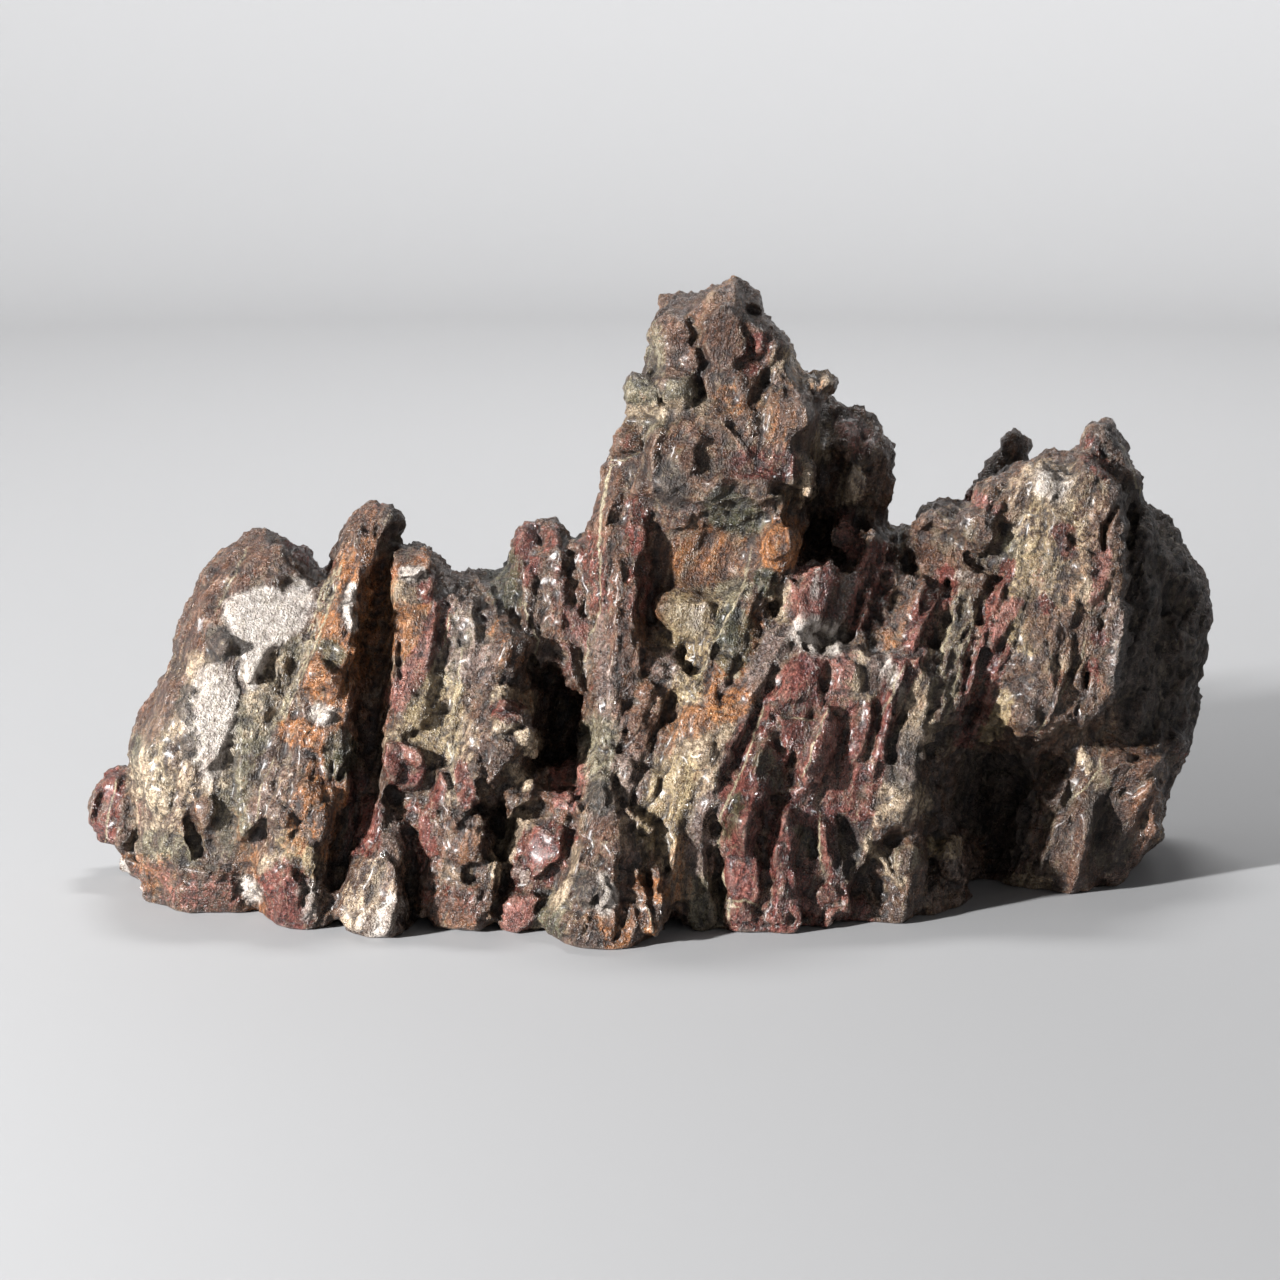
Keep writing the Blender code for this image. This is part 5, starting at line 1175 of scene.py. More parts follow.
            (6.0, 0.7, [(1045, 625), (1080, 640)]), (5.0, 0.6, [(845, 580), (852, 600)]), (5.0, 0.6, [(620, 445),
            (612, 500)]),
            (6.0, 0.6, [(240, 900), (215, 892), (185, 892)]), (6.0, 0.6, [(370, 700), (362, 770)]),
            (4.0, 0.7, [(940, 590), (890, 620)]), (5.0, 0.75, [(1090, 800), (1084, 885)]), (6.0, 0.75, [(1140, 770),
            (1125, 850)]),
            (7.0, 0.7, [(690, 440), (760, 470), (700, 500)]), (6.0, 0.65, [(930, 540), (970, 570)]),
            (6.0, 0.7, [(985, 800), (1000, 850)]),
            (6.0, 0.7, [(600, 840), (625, 900)]), (5.0, 0.7, [(640, 690), (655, 740)]), (7.0, 0.75, [(708, 340),
            (745, 350)]), (7.0, 0.6, [(450, 840), (455, 900)]),
        ],
        "fields": [],
    },
    "jasper": {
        "runs": [
            (3.2, 0.85, [(112, 780), (100, 830)]), (2.0, 0.9, [(430, 582), (428, 594)]), (2.4, 0.85, [(362, 785),
            (374, 815), (366, 845)]),
            (1.4, 0.9, [(356, 775), (352, 850)]), (5.2, 0.85, [(285, 885), (290, 915)]), (4.0, 0.35, [(190, 895),
            (230, 895)]),
            (3.6, 0.8, [(530, 540), (524, 570)]), (3.0, 0.5, [(553, 530), (560, 600), (566, 690)]),
            (4.4, 0.55, [(590, 550), (596, 600)]),
            (4.4, 0.56, [(636, 510), (644, 560), (642, 600)]), (3.4, 0.75, [(745, 463), (788, 466)]),
            (2.4, 0.8, [(500, 708), (516, 712)]),
            (4.4, 0.55, [(418, 808), (422, 858)]), (5.0, 0.45, [(430, 890), (470, 905)]), (3.0, 1.0, [(942, 582),
            (918, 640), (885, 708), (868, 780)]),
            (1.6, 1.0, [(1008, 566), (990, 610), (974, 650), (964, 715)]), (2.4, 0.9, [(1000, 650), (985, 700),
            (965, 738)]),
            (3.0, 0.55, [(1088, 445), (1104, 470)]), (2.4, 0.8, [(1064, 535), (1068, 550)]), (1.4, 0.9, [(1045, 604),
            (1047, 608)]),
            (1.4, 0.9, [(1090, 663), (1093, 668)]), (1.4, 0.9, [(1099, 638), (1102, 642)]), (3.0, 0.7, [(300, 545),
            (320, 562)]),
            (4.0, 0.85, [(880, 560), (862, 610)]), (2.6, 0.8, [(852, 745), (848, 782)]), (4.4, 0.6, [(1186, 732),
            (1190, 740)]),
            (2.2, 0.8, [(462, 768), (468, 800)]), (3.0, 0.7, [(760, 340), (752, 360)]),
        ],
        "fields": [
            (0.95, [(380, 757), (389, 739), (420, 747), (427, 764), (419, 785), (403, 795), (389, 785)]),
            (0.95, [(446, 767), (448, 792), (437, 812), (422, 806), (431, 785)]),
            (0.95, [(522, 830), (552, 824), (575, 822), (580, 836), (564, 868), (543, 896), (506, 888), (512, 862)]),
            (0.9, [(803, 580), (812, 566), (828, 559), (842, 564), (838, 618), (790, 622), (797, 600)]),
            (0.95, [(796, 646), (830, 658), (828, 682), (806, 705), (772, 700), (782, 672)]),
            (0.72, [(722, 745), (765, 690), (830, 700), (880, 700), (880, 800), (855, 860), (880, 930), (725, 935),
            (717, 830)]),
            (0.95, [(722, 850), (764, 852), (768, 905), (730, 903)]),
        ],
    },
    "pink": {
        "runs": [
            (2.6, 0.9, [(442, 612), (428, 648), (408, 680), (398, 698)]), (2.6, 0.7, [(572, 612), (580, 640)]),
            (2.0, 0.4, [(588, 545), (592, 600)]),
            (3.6, 0.8, [(568, 772), (566, 795)]), (3.4, 0.85, [(808, 580), (800, 610)]), (3.4, 0.8, [(830, 715),
            (815, 775)]),
            (3.0, 0.65, [(846, 520), (852, 550)]), (3.6, 0.6, [(845, 665), (842, 700)]), (1.6, 0.65, [(945, 488),
            (1000, 508)]),
            (1.8, 0.8, [(368, 795), (366, 830)]), (1.0, 0.8, [(1006, 570), (990, 606)]), (4.0, 0.55, [(850, 425),
            (862, 440)]),
            (2.2, 0.8, [(790, 670), (780, 695)]), (3.6, 0.55, [(872, 560), (862, 620)]), (2.4, 0.6, [(1096, 600),
            (1106, 560)]),
            (1.2, 0.8, [(932, 602), (900, 672)]), (3.0, 0.55, [(745, 860), (742, 890)]), (6.0, 0.45, [(140, 882),
            (190, 894), (228, 898)]),
        ],
        "fields": [
            (0.9, [(498, 925), (501, 903), (514, 894), (546, 897), (524, 940), (505, 937)]),
            (0.9, [(1006, 598), (1028, 599), (1012, 622), (1000, 640), (986, 662), (990, 630)]),
        ],
    },
    # Quartz, and painted glints: some short runs, on the rib's cap, the fin's belly, the fan's foot and the boulder's
    # lower face, and the small field on the jasper's lit face, are white painted highlights where light catches a
    # facet
    "quartzAndGlints": {
        "runs": [
            (1.8, 0.95, [(408, 574), (418, 573)]), (2.4, 0.9, [(318, 715), (326, 716)]), (1.4, 1.0, [(350, 590),
            (347, 606), (352, 625)]),
            (2.0, 0.9, [(246, 884), (254, 896)]), (1.8, 0.95, [(602, 880), (612, 895), (604, 908)]),
            (0.9, 0.95, [(121, 862), (126, 880), (137, 894)]),
            (2.4, 0.6, [(310, 888), (308, 912)]), (4.0, 0.65, [(1048, 484), (1056, 490)]),
            (1.6, 0.45, [(1118, 628), (1114, 680)]), (1.6, 0.45, [(961, 575), (970, 577)]), 
            (3.2, 0.65, [(298, 588), (304, 600)]), (3.0, 0.6, [(395, 905), (380, 930)]),
            (0.8, 0.7, [(817, 570), (813, 600)]), (4.0, 0.75, [(802, 634), (830, 640)]), (2.2, 0.6, [(888, 666),
            (897, 690)]),
        ],
        "fields": [
            (0.95, [(221, 603), (240, 594), (262, 585), (290, 591), (313, 601), (304, 626), (285, 642), (268, 657),
            (257, 688), (245, 686), (239, 655), (228, 633)]),
            (0.66, [(182, 690), (200, 662), (225, 655), (240, 672), (242, 700), (236, 740), (226, 775), (206, 792),
            (188, 762), (180, 722)]),
            (0.5, [(371, 902), (380, 914), (373, 932), (361, 936), (351, 925), (360, 912)]),
            (0.7, [(514, 864), (520, 858), (529, 878), (524, 884), (512, 879)]),
            (0.42, [(658, 604), (690, 604), (703, 596), (712, 608), (708, 630), (698, 645), (682, 634), (662, 617)]),
        ],
    },
    "bottle": {
        "runs": [
            (3.4, 0.9, [(342, 746), (340, 764)]), (2.6, 0.75, [(328, 648), (334, 656)]), (4.4, 0.65, [(500, 560),
            (506, 595)]),
            (4.4, 0.9, [(722, 508), (742, 518)]), (4.4, 0.85, [(734, 626), (730, 654)]), (2.4, 0.95, [(764, 580),
            (768, 586)]),
            (3.4, 0.6, [(765, 760), (780, 785)]), (2.0, 0.6, [(735, 800), (728, 830)]), (3.4, 0.5, [(545, 915),
            (556, 930)]),
            (2.0, 0.6, [(800, 830), (815, 850)]),
        ],
        "fields": [],
    },
    # Dark rock, and painted shade: the fields and some runs darken the right flank, the recess under the cliff, the
    # set-back teeth, the fin's far side and other hollows where shade falls; the small knobs are dark rock
    "darkRockAndShade": {
        "runs": [
            (3.6, 0.85, [(669, 478), (671, 492)]), (3.0, 0.85, [(219, 638), (224, 650)]), (1.4, 0.9, [(187, 689),
            (187, 692)]),
            (1.8, 0.9, [(184, 706), (185, 716)]), (1.8, 0.9, [(190, 742), (190, 753)]), (5.0, 0.7, [(1105, 810),
            (1112, 850)]),
            (2.6, 0.8, [(598, 788), (602, 808)]), (3.4, 0.75, [(585, 886), (590, 896)]), (5.0, 0.6, [(905, 745),
            (903, 775)]),
            (3.6, 0.7, [(850, 835), (848, 870)]), (4.4, 0.6, [(400, 545), (396, 520)]),
        ],
        "fields": [
            (0.84, [(1122, 480), (1150, 480), (1205, 580), (1212, 640), (1200, 760), (1165, 740), (1120, 740),
            (1110, 680), (1128, 600)]),
            (0.42, [(525, 548), (552, 560), (590, 600), (590, 690), (560, 690), (530, 640)]),
            (0.4, [(1036, 770), (1086, 768), (1092, 884), (1028, 884)]),
            (0.7, [(960, 750), (1036, 752), (1030, 860), (1000, 880), (985, 838), (945, 828)]),
        ],
    },
}

# Thin pale veins: how strong, and the path in pixels of the camera's frame
veins = [
    (1.0, [(346, 558), (331, 600), (317, 640), (300, 682), (282, 726)]),
    (0.9, [(337, 566), (322, 604), (308, 646), (290, 690), (270, 735)]),
    (0.8, [(328, 574), (315, 610), (301, 650), (284, 690)]),
    (0.9, [(247, 547), (236, 572), (227, 590), (214, 612)]),
    (0.9, [(613, 458), (604, 500), (598, 545), (602, 590), (590, 640), (580, 682)]),
    (0.8, [(453, 612), (441, 650), (428, 692)]),
    (0.8, [(464, 640), (456, 690), (448, 758)]),
    (1.0, [(524, 600), (527, 620), (539, 642), (534, 666)]),
    (0.9, [(752, 545), (743, 585), (729, 615), (713, 645), (698, 676), (688, 700)]),
    (0.9, [(765, 700), (750, 750), (734, 790), (720, 812), (718, 850), (724, 885), (730, 925)]),
    (0.9, [(832, 704), (822, 722), (813, 748), (800, 778)]),
    (0.9, [(779, 718), (816, 719)]),
    (0.9, [(728, 903), (744, 901), (761, 907)]),
    (0.8, [(715, 650), (728, 651), (743, 662), (739, 676), (722, 680)]),
    (0.8, [(1088, 640), (1070, 680), (1052, 712)]),
    (0.8, [(1045, 720), (1035, 736)]),
    (0.8, [(462, 738), (451, 752), (449, 776), (457, 798)]),
    (0.9, [(608, 456), (625, 463), (641, 450)]),
    (0.8, [(820, 810), (819, 850), (824, 878)]),
    (0.8, [(645, 902), (655, 935)]),
    (0.8, [(256, 822), (261, 790), (274, 760)]),
    (0.9, [(1100, 756), (1100, 770), (1085, 790), (1060, 806)]),
    (0.8, [(117, 778), (108, 812), (104, 850)]),
    (0.7, [(1120, 442), (1134, 470), (1140, 500)]),
    (0.8, [(905, 662), (893, 690), (880, 720)]),
    (0.8, [(960, 600), (940, 660), (925, 720)]),
    (0.8, [(982, 590), (962, 660), (948, 722)]),
]

# Share of each mineral where nothing is listed: on the back, the sides and between the places above
wildShares = {
    "sage": 0.32, "lilac": 0.28, "cream": 0.29, "straw": 0.22, "rust": 0.32, "brown": 0.50, "jasper": 0.38,
    "pink": 0.26, "quartzAndGlints": 0.14, "bottle": 0.24, "darkRockAndShade": 0.40,
}


# How the layers are laid out: where the front's places come in by how squarely the skin faces the eye, how far a
# mineral strays in broad and in small patches, the ends and the reach of a vein, the softness of a run's and of a
# field's edge, and how much is left of what strays where the front's places are listed
laying = {
    "front": (-0.1, 0.12),
    "broad": (0.5, (9, 22, 34), 60),
    "small": (0.2, (3, 6, 9), 80),
    "veinReach": 3.0,
    "veinEnds": 0.06,
    "runEdge": (1.5, 0.75),
    "fieldEdge": (0.55, 3.6),
    "strayHeld": 0.5,
}

# Layers of sunk places, which the finish uses for dust, roughness, paling and painted shade: rounds of evening, and
# how many millimetres below the evened skin count in full
sunkLayers = {"hollow": (1, 0.5), "valley": (6, 2.2)}


# A value at each point, kept on the mesh for the finish
def keepLayer(mesh, name, values):
    mesh.attributes.new(name, "FLOAT", "POINT").data.foreach_set("value", values.astype(np.float32))


# How much of each mineral there is at each point, from 0 to 1, with the painted shade and glints that two of them
# carry, kept on the mesh for the finish
def paintMinerals(thing):
    mesh = thing.data
    points = column(mesh.vertices, "co", 3).astype(np.float64) * 1000
    normals = column(mesh.vertices, "normal", 3)
    edges = column(mesh.edges, "vertices", 2, np.int32)
    strata = strataPlaces(points)
    view = FrontView(points, normals)
    placed = smoothStep(*laying["front"], view.facing)
    reach, ends = laying["veinReach"], laying["veinEnds"]
    side, vein = np.full(len(points), 3 * reach), np.zeros(len(points))
    for amount, path in veins:
        chosen = view.near(path, reach)
        away, along = fromPath(view.roughAcross[chosen], view.roughDown[chosen], path)
        nearer = np.abs(away) < np.abs(side[chosen])
        side[chosen] = np.where(nearer, away, side[chosen])
        fade = smoothStep(0.0, ends, along) * smoothStep(0.0, ends, 1 - along)
        vein[chosen] = np.where(nearer, amount * fade * np.clip(2.0 - np.abs(away), 0, 1), vein[chosen])
    keepLayer(mesh, "veinSide", np.clip(side, -reach, reach))
    keepLayer(mesh, "vein", vein * placed)
    for number, (name, places) in enumerate(minerals.items()):
        wild = wildShares[name] + np.zeros(len(points), np.float32)
        for strength, size, seed in (laying["broad"], laying["small"]):
            wild += strength * rolling(strata, size, seed + number)
        share = np.zeros(len(points))
        for width, amount, path in places["runs"]:
            start, slope = laying["runEdge"]
            chosen = view.near(path, 2.2 * width + 2.0)
            away = np.abs(fromPath(view.roughAcross[chosen], view.roughDown[chosen], path)[0])
            share[chosen] = np.maximum(share[chosen], amount * np.clip(start - away / width * slope, 0, 1))
        for amount, outline in places["fields"]:
            start, width = laying["fieldEdge"]
            chosen = view.near(outline, 3.0)
            inside = insideOutline(view.roughAcross[chosen], view.roughDown[chosen], outline)
            share[chosen] = np.maximum(share[chosen], amount * np.clip(start + inside / width, 0, 1))
        share = np.maximum(share * placed, wild * (1 - laying["strayHeld"] * placed))
        keepLayer(mesh, name, np.clip(share, 0, 1))
    for name, (passes, depth) in sunkLayers.items():
        middle = evened(points, edges, passes)
        sunk = ((middle - points) * normals).sum(axis=1) / depth
        keepLayer(mesh, name, np.clip(0.5 + 0.5 * sunk, 0, 1))
    print("minerals laid out:", len(minerals))


# Colours and shine of the rock. Each range says where a grain or a layer turns from none to all.
finish = {
    "matrix": (0.108, 0.055, 0.032),
    "matrixDark": (0.038, 0.018, 0.011),
    "matrixPale": (0.202, 0.110, 0.060),
    "veinColour": (0.34, 0.29, 0.19),
    "dust": (0.21, 0.17, 0.115),
    "gritDark": (0.46, 0.38, 0.33),
    "speckPale": (1.5, 1.42, 1.34),
    "pitDark": (0.26, 0.19, 0.16),
    "crackDark": (0.22, 0.16, 0.13),
    "seamDark": (0.40, 0.34, 0.30),
    # painted shade laid into hollows and valleys
    "hollowPaintedShade": (0.14, 0.10, 0.08),
    "valleyPaintedShade": (0.22, 0.16, 0.14),
    "edgePale": (0.56, 0.43, 0.33),
    "matrixRange": (0.36, 0.60),
    "paleRange": (0.50, 0.64),
    "shadeRange": (0.36, 0.62),
    "plainRange": (0.45, 0.7),
    "gritRange": (0.50, 0.40),
    "speckRange": (0.52, 0.64),
    "pitRange": (0.50, 0.38),
    "dustRange": (0.50, 0.62),
    "hollowShadeRange": (0.52, 0.90),
    "valleyShadeRange": (0.54, 0.95),
    "edgeRange": (0.60, 0.95),
    "crackWidth": 0.035,
    "seamWidth": 0.05,
    "hairlineWidth": 0.008,
    "veinEdge": (0.14, 0.38),
    "roughness": 0.26,
    "sheen": 0.62,
    "polish": 0.15,
    "polishRoughness": 0.26,
    "crystalShine": 0.14,      # how much smoother quartz, jasper and the lilac rock are
    "bumpHeight": 0.001,       # metres for a height of 1
}

# Sizes of the grains that the finish is mixed from, in millimetres, and in how many layers each is worked out
grains = {
    "fleck": (1.4, 4.0), "grit": (0.85, 3.0), "smear": (2.6, 5.0), "speck": (0.55, 2.0), "fibre": (0.7, 3.0),
    "drift": (8.0, 3.0), "cloud": (14.0, 3.0),
}

# How the grains are drawn out: across the strata, into the rock and along them
grainStretch = {"along": (1.0, 1.4, 3.0), "longer": (1.0, 2.0, 3.0)}

# Each mineral's two shades, how sharply it ends and how much of it covers the rock below
mineralShades = {
    "sage": ((0.074, 0.068, 0.040), (0.245, 0.226, 0.150), 2.8, 0.8),
    "lilac": ((0.090, 0.058, 0.048), (0.30, 0.226, 0.198), 2.8, 0.8),
    "cream": ((0.21, 0.150, 0.090), (0.54, 0.43, 0.30), 3.2, 0.88),
    "straw": ((0.18, 0.125, 0.058), (0.45, 0.355, 0.20), 3.0, 0.82),
    "rust": ((0.11, 0.040, 0.013), (0.40, 0.155, 0.044), 3.0, 0.9),
    "brown": ((0.052, 0.022, 0.013), (0.135, 0.058, 0.030), 2.8, 0.8),
    "jasper": ((0.050, 0.0115, 0.0095), (0.180, 0.050, 0.039), 3.6, 0.92),
    "pink": ((0.12, 0.034, 0.028), (0.30, 0.115, 0.088), 3.6, 0.9),
    # the quartz layer's shades serve both quartz and painted glints
    "quartzAndGlints": ((0.29, 0.25, 0.215), (0.62, 0.575, 0.53), 2.3, 0.88),
    "bottle": ((0.016, 0.020, 0.009), (0.050, 0.056, 0.025), 3.4, 0.85),
    # the dark layer's shades serve both dark rock and painted shade
    "darkRockAndShade": ((0.014, 0.0090, 0.007), (0.038, 0.024, 0.017), 3.2, 0.88),
}


# A socket of a shader's tree that sums can be written with: each sum makes the node that works it out
class Signal:
    tree = None

    def __init__(self, socket):
        self.socket = socket

    @classmethod
    def made(cls, kind, settings, inputs, output=0):
        node = cls.tree.nodes.new(kind)
        for name, value in settings.items():
            setattr(node, name, value)
        for name, value in inputs.items():
            if isinstance(value, Signal):
                cls.tree.links.new(value.socket, node.inputs[name])
            else:
                node.inputs[name].default_value = value
        return cls(node.outputs[output])

    # Another output of the same node
    def other(self, name):
        return Signal(self.socket.node.outputs[name])

    def worked(self, operation, first, second):
        return Signal.made("ShaderNodeMath", {"operation": operation}, {0: first, 1: second})

    def __add__(self, other):
        return self.worked("ADD", self, other)

    def __radd__(self, other):
        return self.worked("ADD", other, self)

    def __sub__(self, other):
        return self.worked("SUBTRACT", self, other)

    def __rsub__(self, other):
        return self.worked("SUBTRACT", other, self)

    def __mul__(self, other):
        return self.worked("MULTIPLY", self, other)

    def __rmul__(self, other):
        return self.worked("MULTIPLY", other, self)

    def held(self):
        return Signal.made("ShaderNodeClamp", {}, {"Value": self})

    # 0 below low and 1 above high
    def ramped(self, low, high):
        return ((self - low) * (1 / (high - low))).held()


# One colour laid over another by a share
def laid(below, above, share, way="MIX"):
    below, above = (tuple(colour) + (1.0,) if isinstance(colour, tuple) else colour for colour in (below, above))
    return Signal.made("ShaderNodeMix", {"data_type": "RGBA", "blend_type": way}, {0: share, 6: below, 7: above}, 2)


# A value that was kept on the mesh, as the finish reads it
def layerOf(name):
    return Signal.made("ShaderNodeAttribute", {"attribute_name": name}, {}, "Fac")


# The rock's finish: a brown mass with the minerals laid over it one by one, then grit, specks, hairlines, veins,
# dust, dark pits, cracks and seams, painted shade in hollows and valleys, a slight paling where the skin stands out,
# and last the shine and the grain that catches the light
def makeRockFinish():
    paint = bpy.data.materials.new("rockFinish")
    paint.use_nodes = True
    Signal.tree = paint.node_tree
    surface = paint.node_tree.nodes["Principled BSDF"]
    place = Signal.made("ShaderNodeTexCoord", {}, {}, "Object")
    along = Signal.made("ShaderNodeMapping", {"vector_type": "TEXTURE"}, {
        "Vector": place, "Rotation": (0, np.radians(rock["strataLean"]), 0), "Scale": grainStretch["along"]})

    def grain(name, source=place):
        size, layers = grains[name]
        return Signal.made("ShaderNodeTexNoise", {}, {
            "Vector": source, "Scale": 1000 / size, "Detail": layers, "Roughness": 0.6})

    # Small flat crystal faces, each leaning its own way: the cell's random direction times the way from its middle
    def facets(size):
        cell = Signal.made("ShaderNodeTexVoronoi", {}, {"Vector": place, "Scale": 1000 / size}, "Position")
        way = Signal.made("ShaderNodeVectorMath", {"operation": "SUBTRACT"}, {0: place, 1: cell})
        lean = Signal.made("ShaderNodeVectorMath", {"operation": "SUBTRACT"}, {
            0: cell.other("Color"), 1: (0.5, 0.5, 0.5)})
        rise = Signal.made("ShaderNodeVectorMath", {"operation": "DOT_PRODUCT"}, {0: way, 1: lean}, "Value")
        return rise * (1000 / size)

    def apartFrom(signal, middle):
        return Signal.made("ShaderNodeMath", {"operation": "ABSOLUTE"}, {0: signal - middle})

    longer = Signal.made("ShaderNodeMapping", {"vector_type": "TEXTURE"}, {
        "Vector": along, "Scale": grainStretch["longer"]})
    fleck, grit, speck, cloud = (grain(name) for name in ("fleck", "grit", "speck", "cloud"))
    smear, drift, fibre = grain("smear", along), grain("drift", along), grain("fibre", longer)
    cracks = 1 - apartFrom(smear, 0.47).ramped(0.0, finish["crackWidth"])
    seams = 1 - apartFrom(fleck, 0.5).ramped(0.0, finish["seamWidth"])
    colour = laid(finish["matrixDark"], finish["matrix"], drift.ramped(*finish["matrixRange"]))
    pale = (smear * 0.6 + cloud * 0.4).ramped(*finish["paleRange"])
    colour = laid(colour, finish["matrixPale"], pale * 0.75)
    broken = (smear * 0.5 + cloud * 0.25 + grit * 0.25, fleck * 0.35 + drift * 0.4 + grit * 0.25)
    mottle = smear * 0.3 + drift * 0.25 + fleck * 0.2 + grit * 0.2 + fibre * 0.2 - 0.075
    shine = 0.0
    # Each mineral laid over the rock; the dark layer lays painted shade as well, and the quartz layer painted glints
    for number, (name, (low, high, sharp, cover)) in enumerate(mineralShades.items()):
        patch = broken[number % 2]
        share = (((layerOf(name) - 0.5) * 1.4 + (patch - 0.5) * 2.6) * sharp + 0.5).held()
        shade = laid(low, high, mottle.ramped(*finish["shadeRange"]))
        colour = laid(colour, shade, share * cover)
        if name in ("quartzAndGlints", "jasper", "lilac"):
            shine = share * finish["crystalShine"] + shine
    plain = 1 - layerOf("quartzAndGlints").ramped(*finish["plainRange"]) * 0.72
    gritty = (grit * 0.6 + fleck * 0.4).ramped(*finish["gritRange"])
    colour = laid(colour, finish["gritDark"], gritty * plain * 0.65, "MULTIPLY")
    speckled = (speck * 0.5 + grit * 0.5).ramped(*finish["speckRange"])
    colour = laid(colour, finish["speckPale"], speckled * plain * 0.6, "MULTIPLY")
    hairline = 1 - apartFrom(drift, 0.5).ramped(0.0, finish["hairlineWidth"])
    colour = laid(colour, finish["veinColour"], hairline * 0.4)
    side = apartFrom(layerOf("veinSide") + (smear - 0.5) * 1.6, 0.0)
    colour = laid(colour, finish["veinColour"], (1 - side.ramped(*finish["veinEdge"])) * layerOf("vein"))
    hollow, valley = layerOf("hollow"), layerOf("valley")
    colour = laid(colour, finish["dust"], valley.ramped(*finish["dustRange"]) * smear.ramped(0.46, 0.56) * 0.5)
    pit = (smear * 0.6 + fleck * 0.4).ramped(*finish["pitRange"])
    colour = laid(colour, finish["pitDark"], pit * plain * 0.75, "MULTIPLY")
    colour = laid(colour, finish["crackDark"], cracks * plain * 0.6, "MULTIPLY")
    colour = laid(colour, finish["seamDark"], seams * plain * 0.35, "MULTIPLY")
    # Painted shade: hollows and valleys darkened by how far they sink below the evened skin
    colour = laid(colour, finish["hollowPaintedShade"], hollow.ramped(*finish["hollowShadeRange"]) * 0.8, "MULTIPLY")
    colour = laid(colour, finish["valleyPaintedShade"], valley.ramped(*finish["valleyShadeRange"]) * 0.65, "MULTIPLY")
    colour = laid(colour, finish["edgePale"], (1 - hollow).ramped(*finish["edgeRange"]) * 0.12)
    paint.node_tree.links.new(colour.socket, surface.inputs["Base Color"])
    # the dark layer, partly painted shade, is also made rougher and less coated
    darkAndShadeShare = layerOf("darkRockAndShade").ramped(0.3, 0.7)
    rough = (finish["roughness"] - shine) + (fleck - 0.5) * 0.8 + pit * 0.2
    rough = rough + hollow.ramped(0.5, 0.9) * 0.25 + darkAndShadeShare * 0.2
    paint.node_tree.links.new(rough.ramped(0.0, 1.0).socket, surface.inputs["Roughness"])
    surface.inputs["Specular IOR Level"].default_value = finish["sheen"]
    coat = (1 - darkAndShadeShare * 0.8) * finish["polish"]
    paint.node_tree.links.new(coat.socket, surface.inputs["Coat Weight"])
    surface.inputs["Coat Roughness"].default_value = finish["polishRoughness"]
    creased = apartFrom(smear, 0.5) * -2.2 + apartFrom(fleck, 0.5) * -1.5
    height = smear * 0.8 + fleck * 0.6 + creased + grit * 0.75 + fibre * 0.5 + facets(1.7) * 0.12 - cracks * 0.15
    height = height * (plain * 0.5 + 0.5)
    coarse = Signal.made("ShaderNodeBump", {}, {
        "Strength": 1.0, "Distance": finish["bumpHeight"], "Height": height}, "Normal")
    fine = Signal.made("ShaderNodeBump", {}, {
        "Strength": 1.0, "Distance": finish["bumpHeight"], "Height": speck * 0.8 + facets(0.7) * 0.34,
        "Normal": coarse}, "Normal")
    paint.node_tree.links.new(fine.socket, surface.inputs["Normal"])
    return paint


stone = roughRock()
pullOutline(stone)
print("rough rock melted:", len(stone.data.vertices), "points")
shapeFront(stone)
shapeSkin(stone)
fewerTriangles(stone)
paintMinerals(stone)
stone.data.materials.append(makeRockFinish())

# The studio: sizes and places in metres
studio = {
    "floorRadius": 1.30,
    "wallRadius": 1.75,
    "wallHeight": 1.6,
    "floorFlat": 0.6,
    "floorTurns": 13,
    "floorSides": 96,
    "floorColour": (0.32, 0.32, 0.325, 1.0),
    "floorRoughness": 0.7,
    "keyPlace": (-1.20, -0.86, 0.44),
    "keySize": 0.09,
    "keyPower": 94.0,
    "topPlace": (-0.3, 0.1, 1.3),
    "topSize": 0.6,
    "topPower": 1.6,
    "backPlace": (0.1, 0.5, 1.35),
    "backAim": (0.05, 1.75, 0.25),
    "backSize": 0.5,
    "backPower": 30.0,
    "stoneMiddle": (0, 0, 0.07),
    "air": 0.02,
    "airColour": (1.0, 0.95, 0.88, 1.0),
    "farthest": 50.0,
}


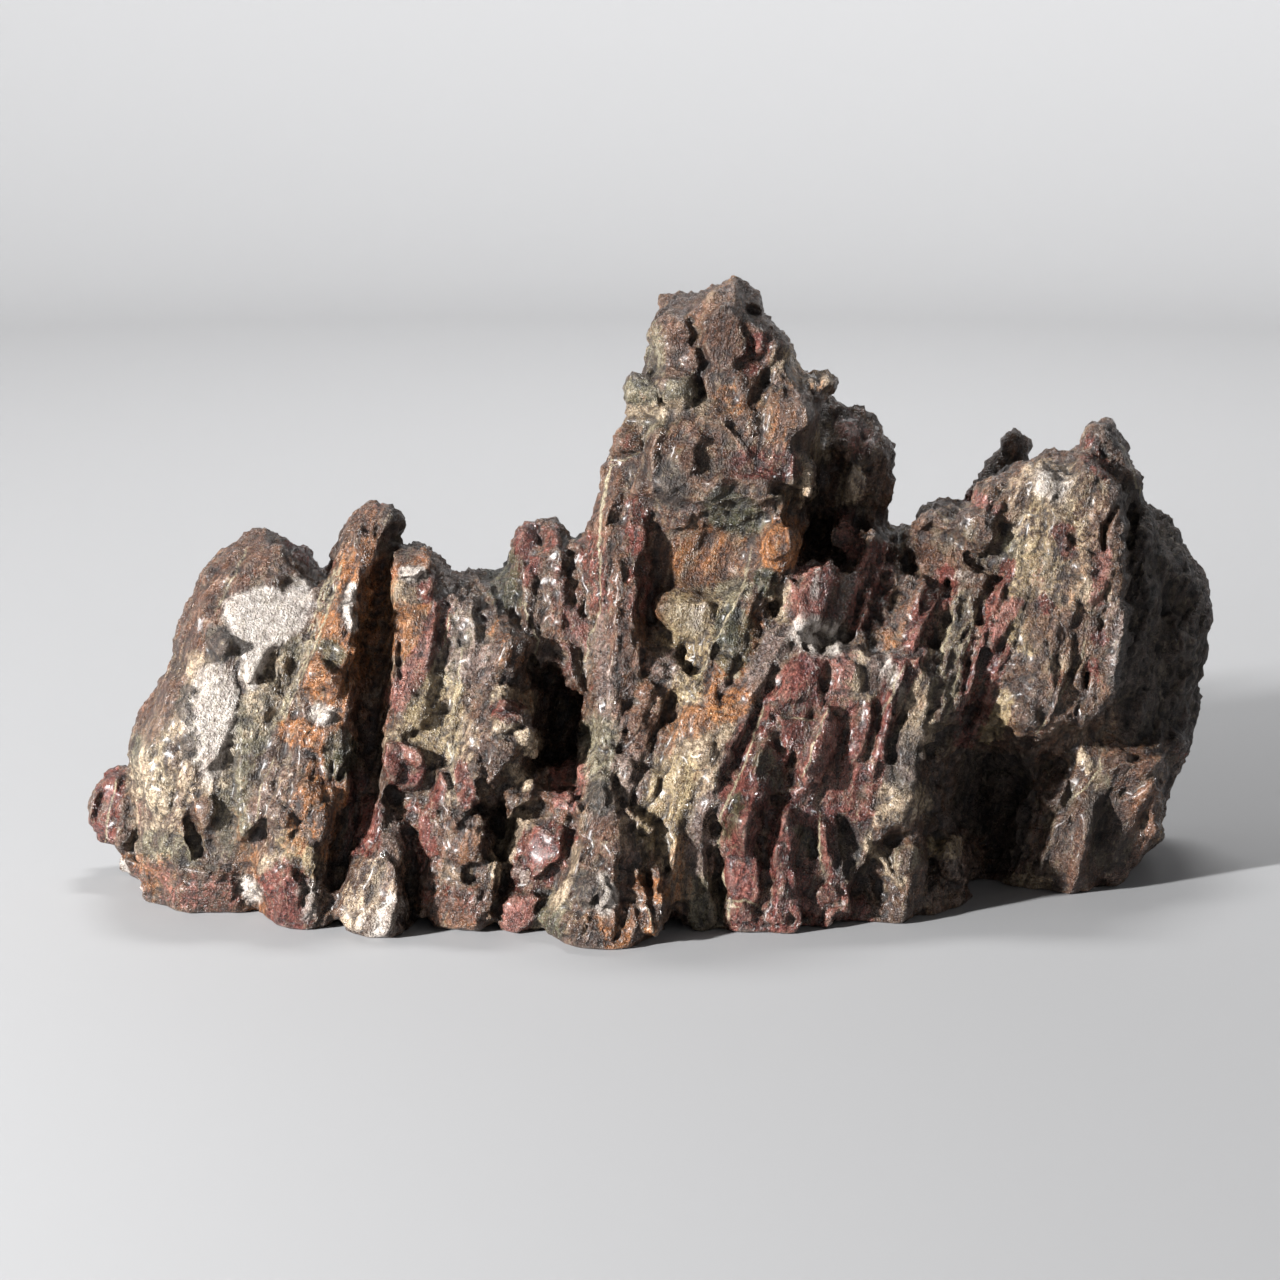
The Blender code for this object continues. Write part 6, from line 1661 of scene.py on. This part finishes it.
# A round floor that turns up into a wall: a profile of radius and height carried round the middle
def makeFloor():
    sides = studio["floorSides"]
    turn = np.linspace(0, np.pi / 2, studio["floorTurns"])
    bend = studio["wallRadius"] - studio["floorRadius"]
    rise = studio["floorRadius"] + bend * np.sin(turn)
    radius = np.concatenate([[0.0, studio["floorFlat"]], rise, [studio["wallRadius"]]])
    height = np.concatenate([[0.0, 0.0], bend * (1 - np.cos(turn)), [studio["wallHeight"]]])
    around = np.linspace(0, 2 * np.pi, sides, endpoint=False)
    x, y = radius[:, None] * np.cos(around), radius[:, None] * np.sin(around)
    places = np.stack([x, y, np.broadcast_to(height[:, None], x.shape)], axis=-1).reshape(-1, 3)
    ring = np.arange(sides)
    after = (ring + 1) % sides
    rows = np.arange(len(radius) - 1)[:, None] * sides
    faces = np.stack([rows + ring, rows + after, rows + sides + after, rows + sides + ring], axis=-1).reshape(-1, 4)
    mesh = bpy.data.meshes.new("studioFloor")
    mesh.from_pydata(places.tolist(), [], faces.tolist())
    cleaned = bmesh.new()
    cleaned.from_mesh(mesh)
    bmesh.ops.remove_doubles(cleaned, verts=cleaned.verts, dist=1e-6)
    bmesh.ops.recalc_face_normals(cleaned, faces=cleaned.faces)
    cleaned.to_mesh(mesh)
    cleaned.free()
    mesh.polygons.foreach_set("use_smooth", np.ones(len(mesh.polygons), bool))
    floor = bpy.data.objects.new("studioFloor", mesh)
    bpy.context.scene.collection.objects.link(floor)
    paint = bpy.data.materials.new("floorPaint")
    paint.use_nodes = True
    paint.node_tree.nodes["Principled BSDF"].inputs["Base Color"].default_value = studio["floorColour"]
    paint.node_tree.nodes["Principled BSDF"].inputs["Roughness"].default_value = studio["floorRoughness"]
    mesh.materials.append(paint)


# A lamp or the camera put in its place and turned towards its target
def pointAt(thing, place, target):
    thing.location = place
    thing.rotation_mode = "QUATERNION"
    thing.rotation_quaternion = (Vector(target) - Vector(place)).to_track_quat("-Z", "Y")
    bpy.context.scene.collection.objects.link(thing)


# A round soft lamp, its size in metres and its power in watts
def addLamp(name, place, size, power, target=studio["stoneMiddle"]):
    lamp = bpy.data.lights.new(name, "AREA")
    lamp.shape = "DISK"
    lamp.size = size
    lamp.energy = power
    pointAt(bpy.data.objects.new(name, lamp), place, target)


makeFloor()
addLamp("keyLight", studio["keyPlace"], studio["keySize"], studio["keyPower"])
addLamp("topLight", studio["topPlace"], studio["topSize"], studio["topPower"])
addLamp("backLight", studio["backPlace"], studio["backSize"], studio["backPower"], studio["backAim"])
air = bpy.data.worlds.new("air")
air.use_nodes = True
air.node_tree.nodes["Background"].inputs["Color"].default_value = studio["airColour"]
air.node_tree.nodes["Background"].inputs["Strength"].default_value = studio["air"]
bpy.context.scene.world = air
bpy.context.scene.view_settings.view_transform = "Standard"

lens = bpy.data.cameras.new("camera")
lens.lens = camera["lens"]
lens.sensor_width = camera["sensor"]
lens.clip_end = studio["farthest"]
cameraThing = bpy.data.objects.new("camera", lens)
pointAt(cameraThing, camera["eye"], camera["aim"])
bpy.context.scene.camera = cameraThing
print("studio set up")

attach(stone, "root")
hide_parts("stone")
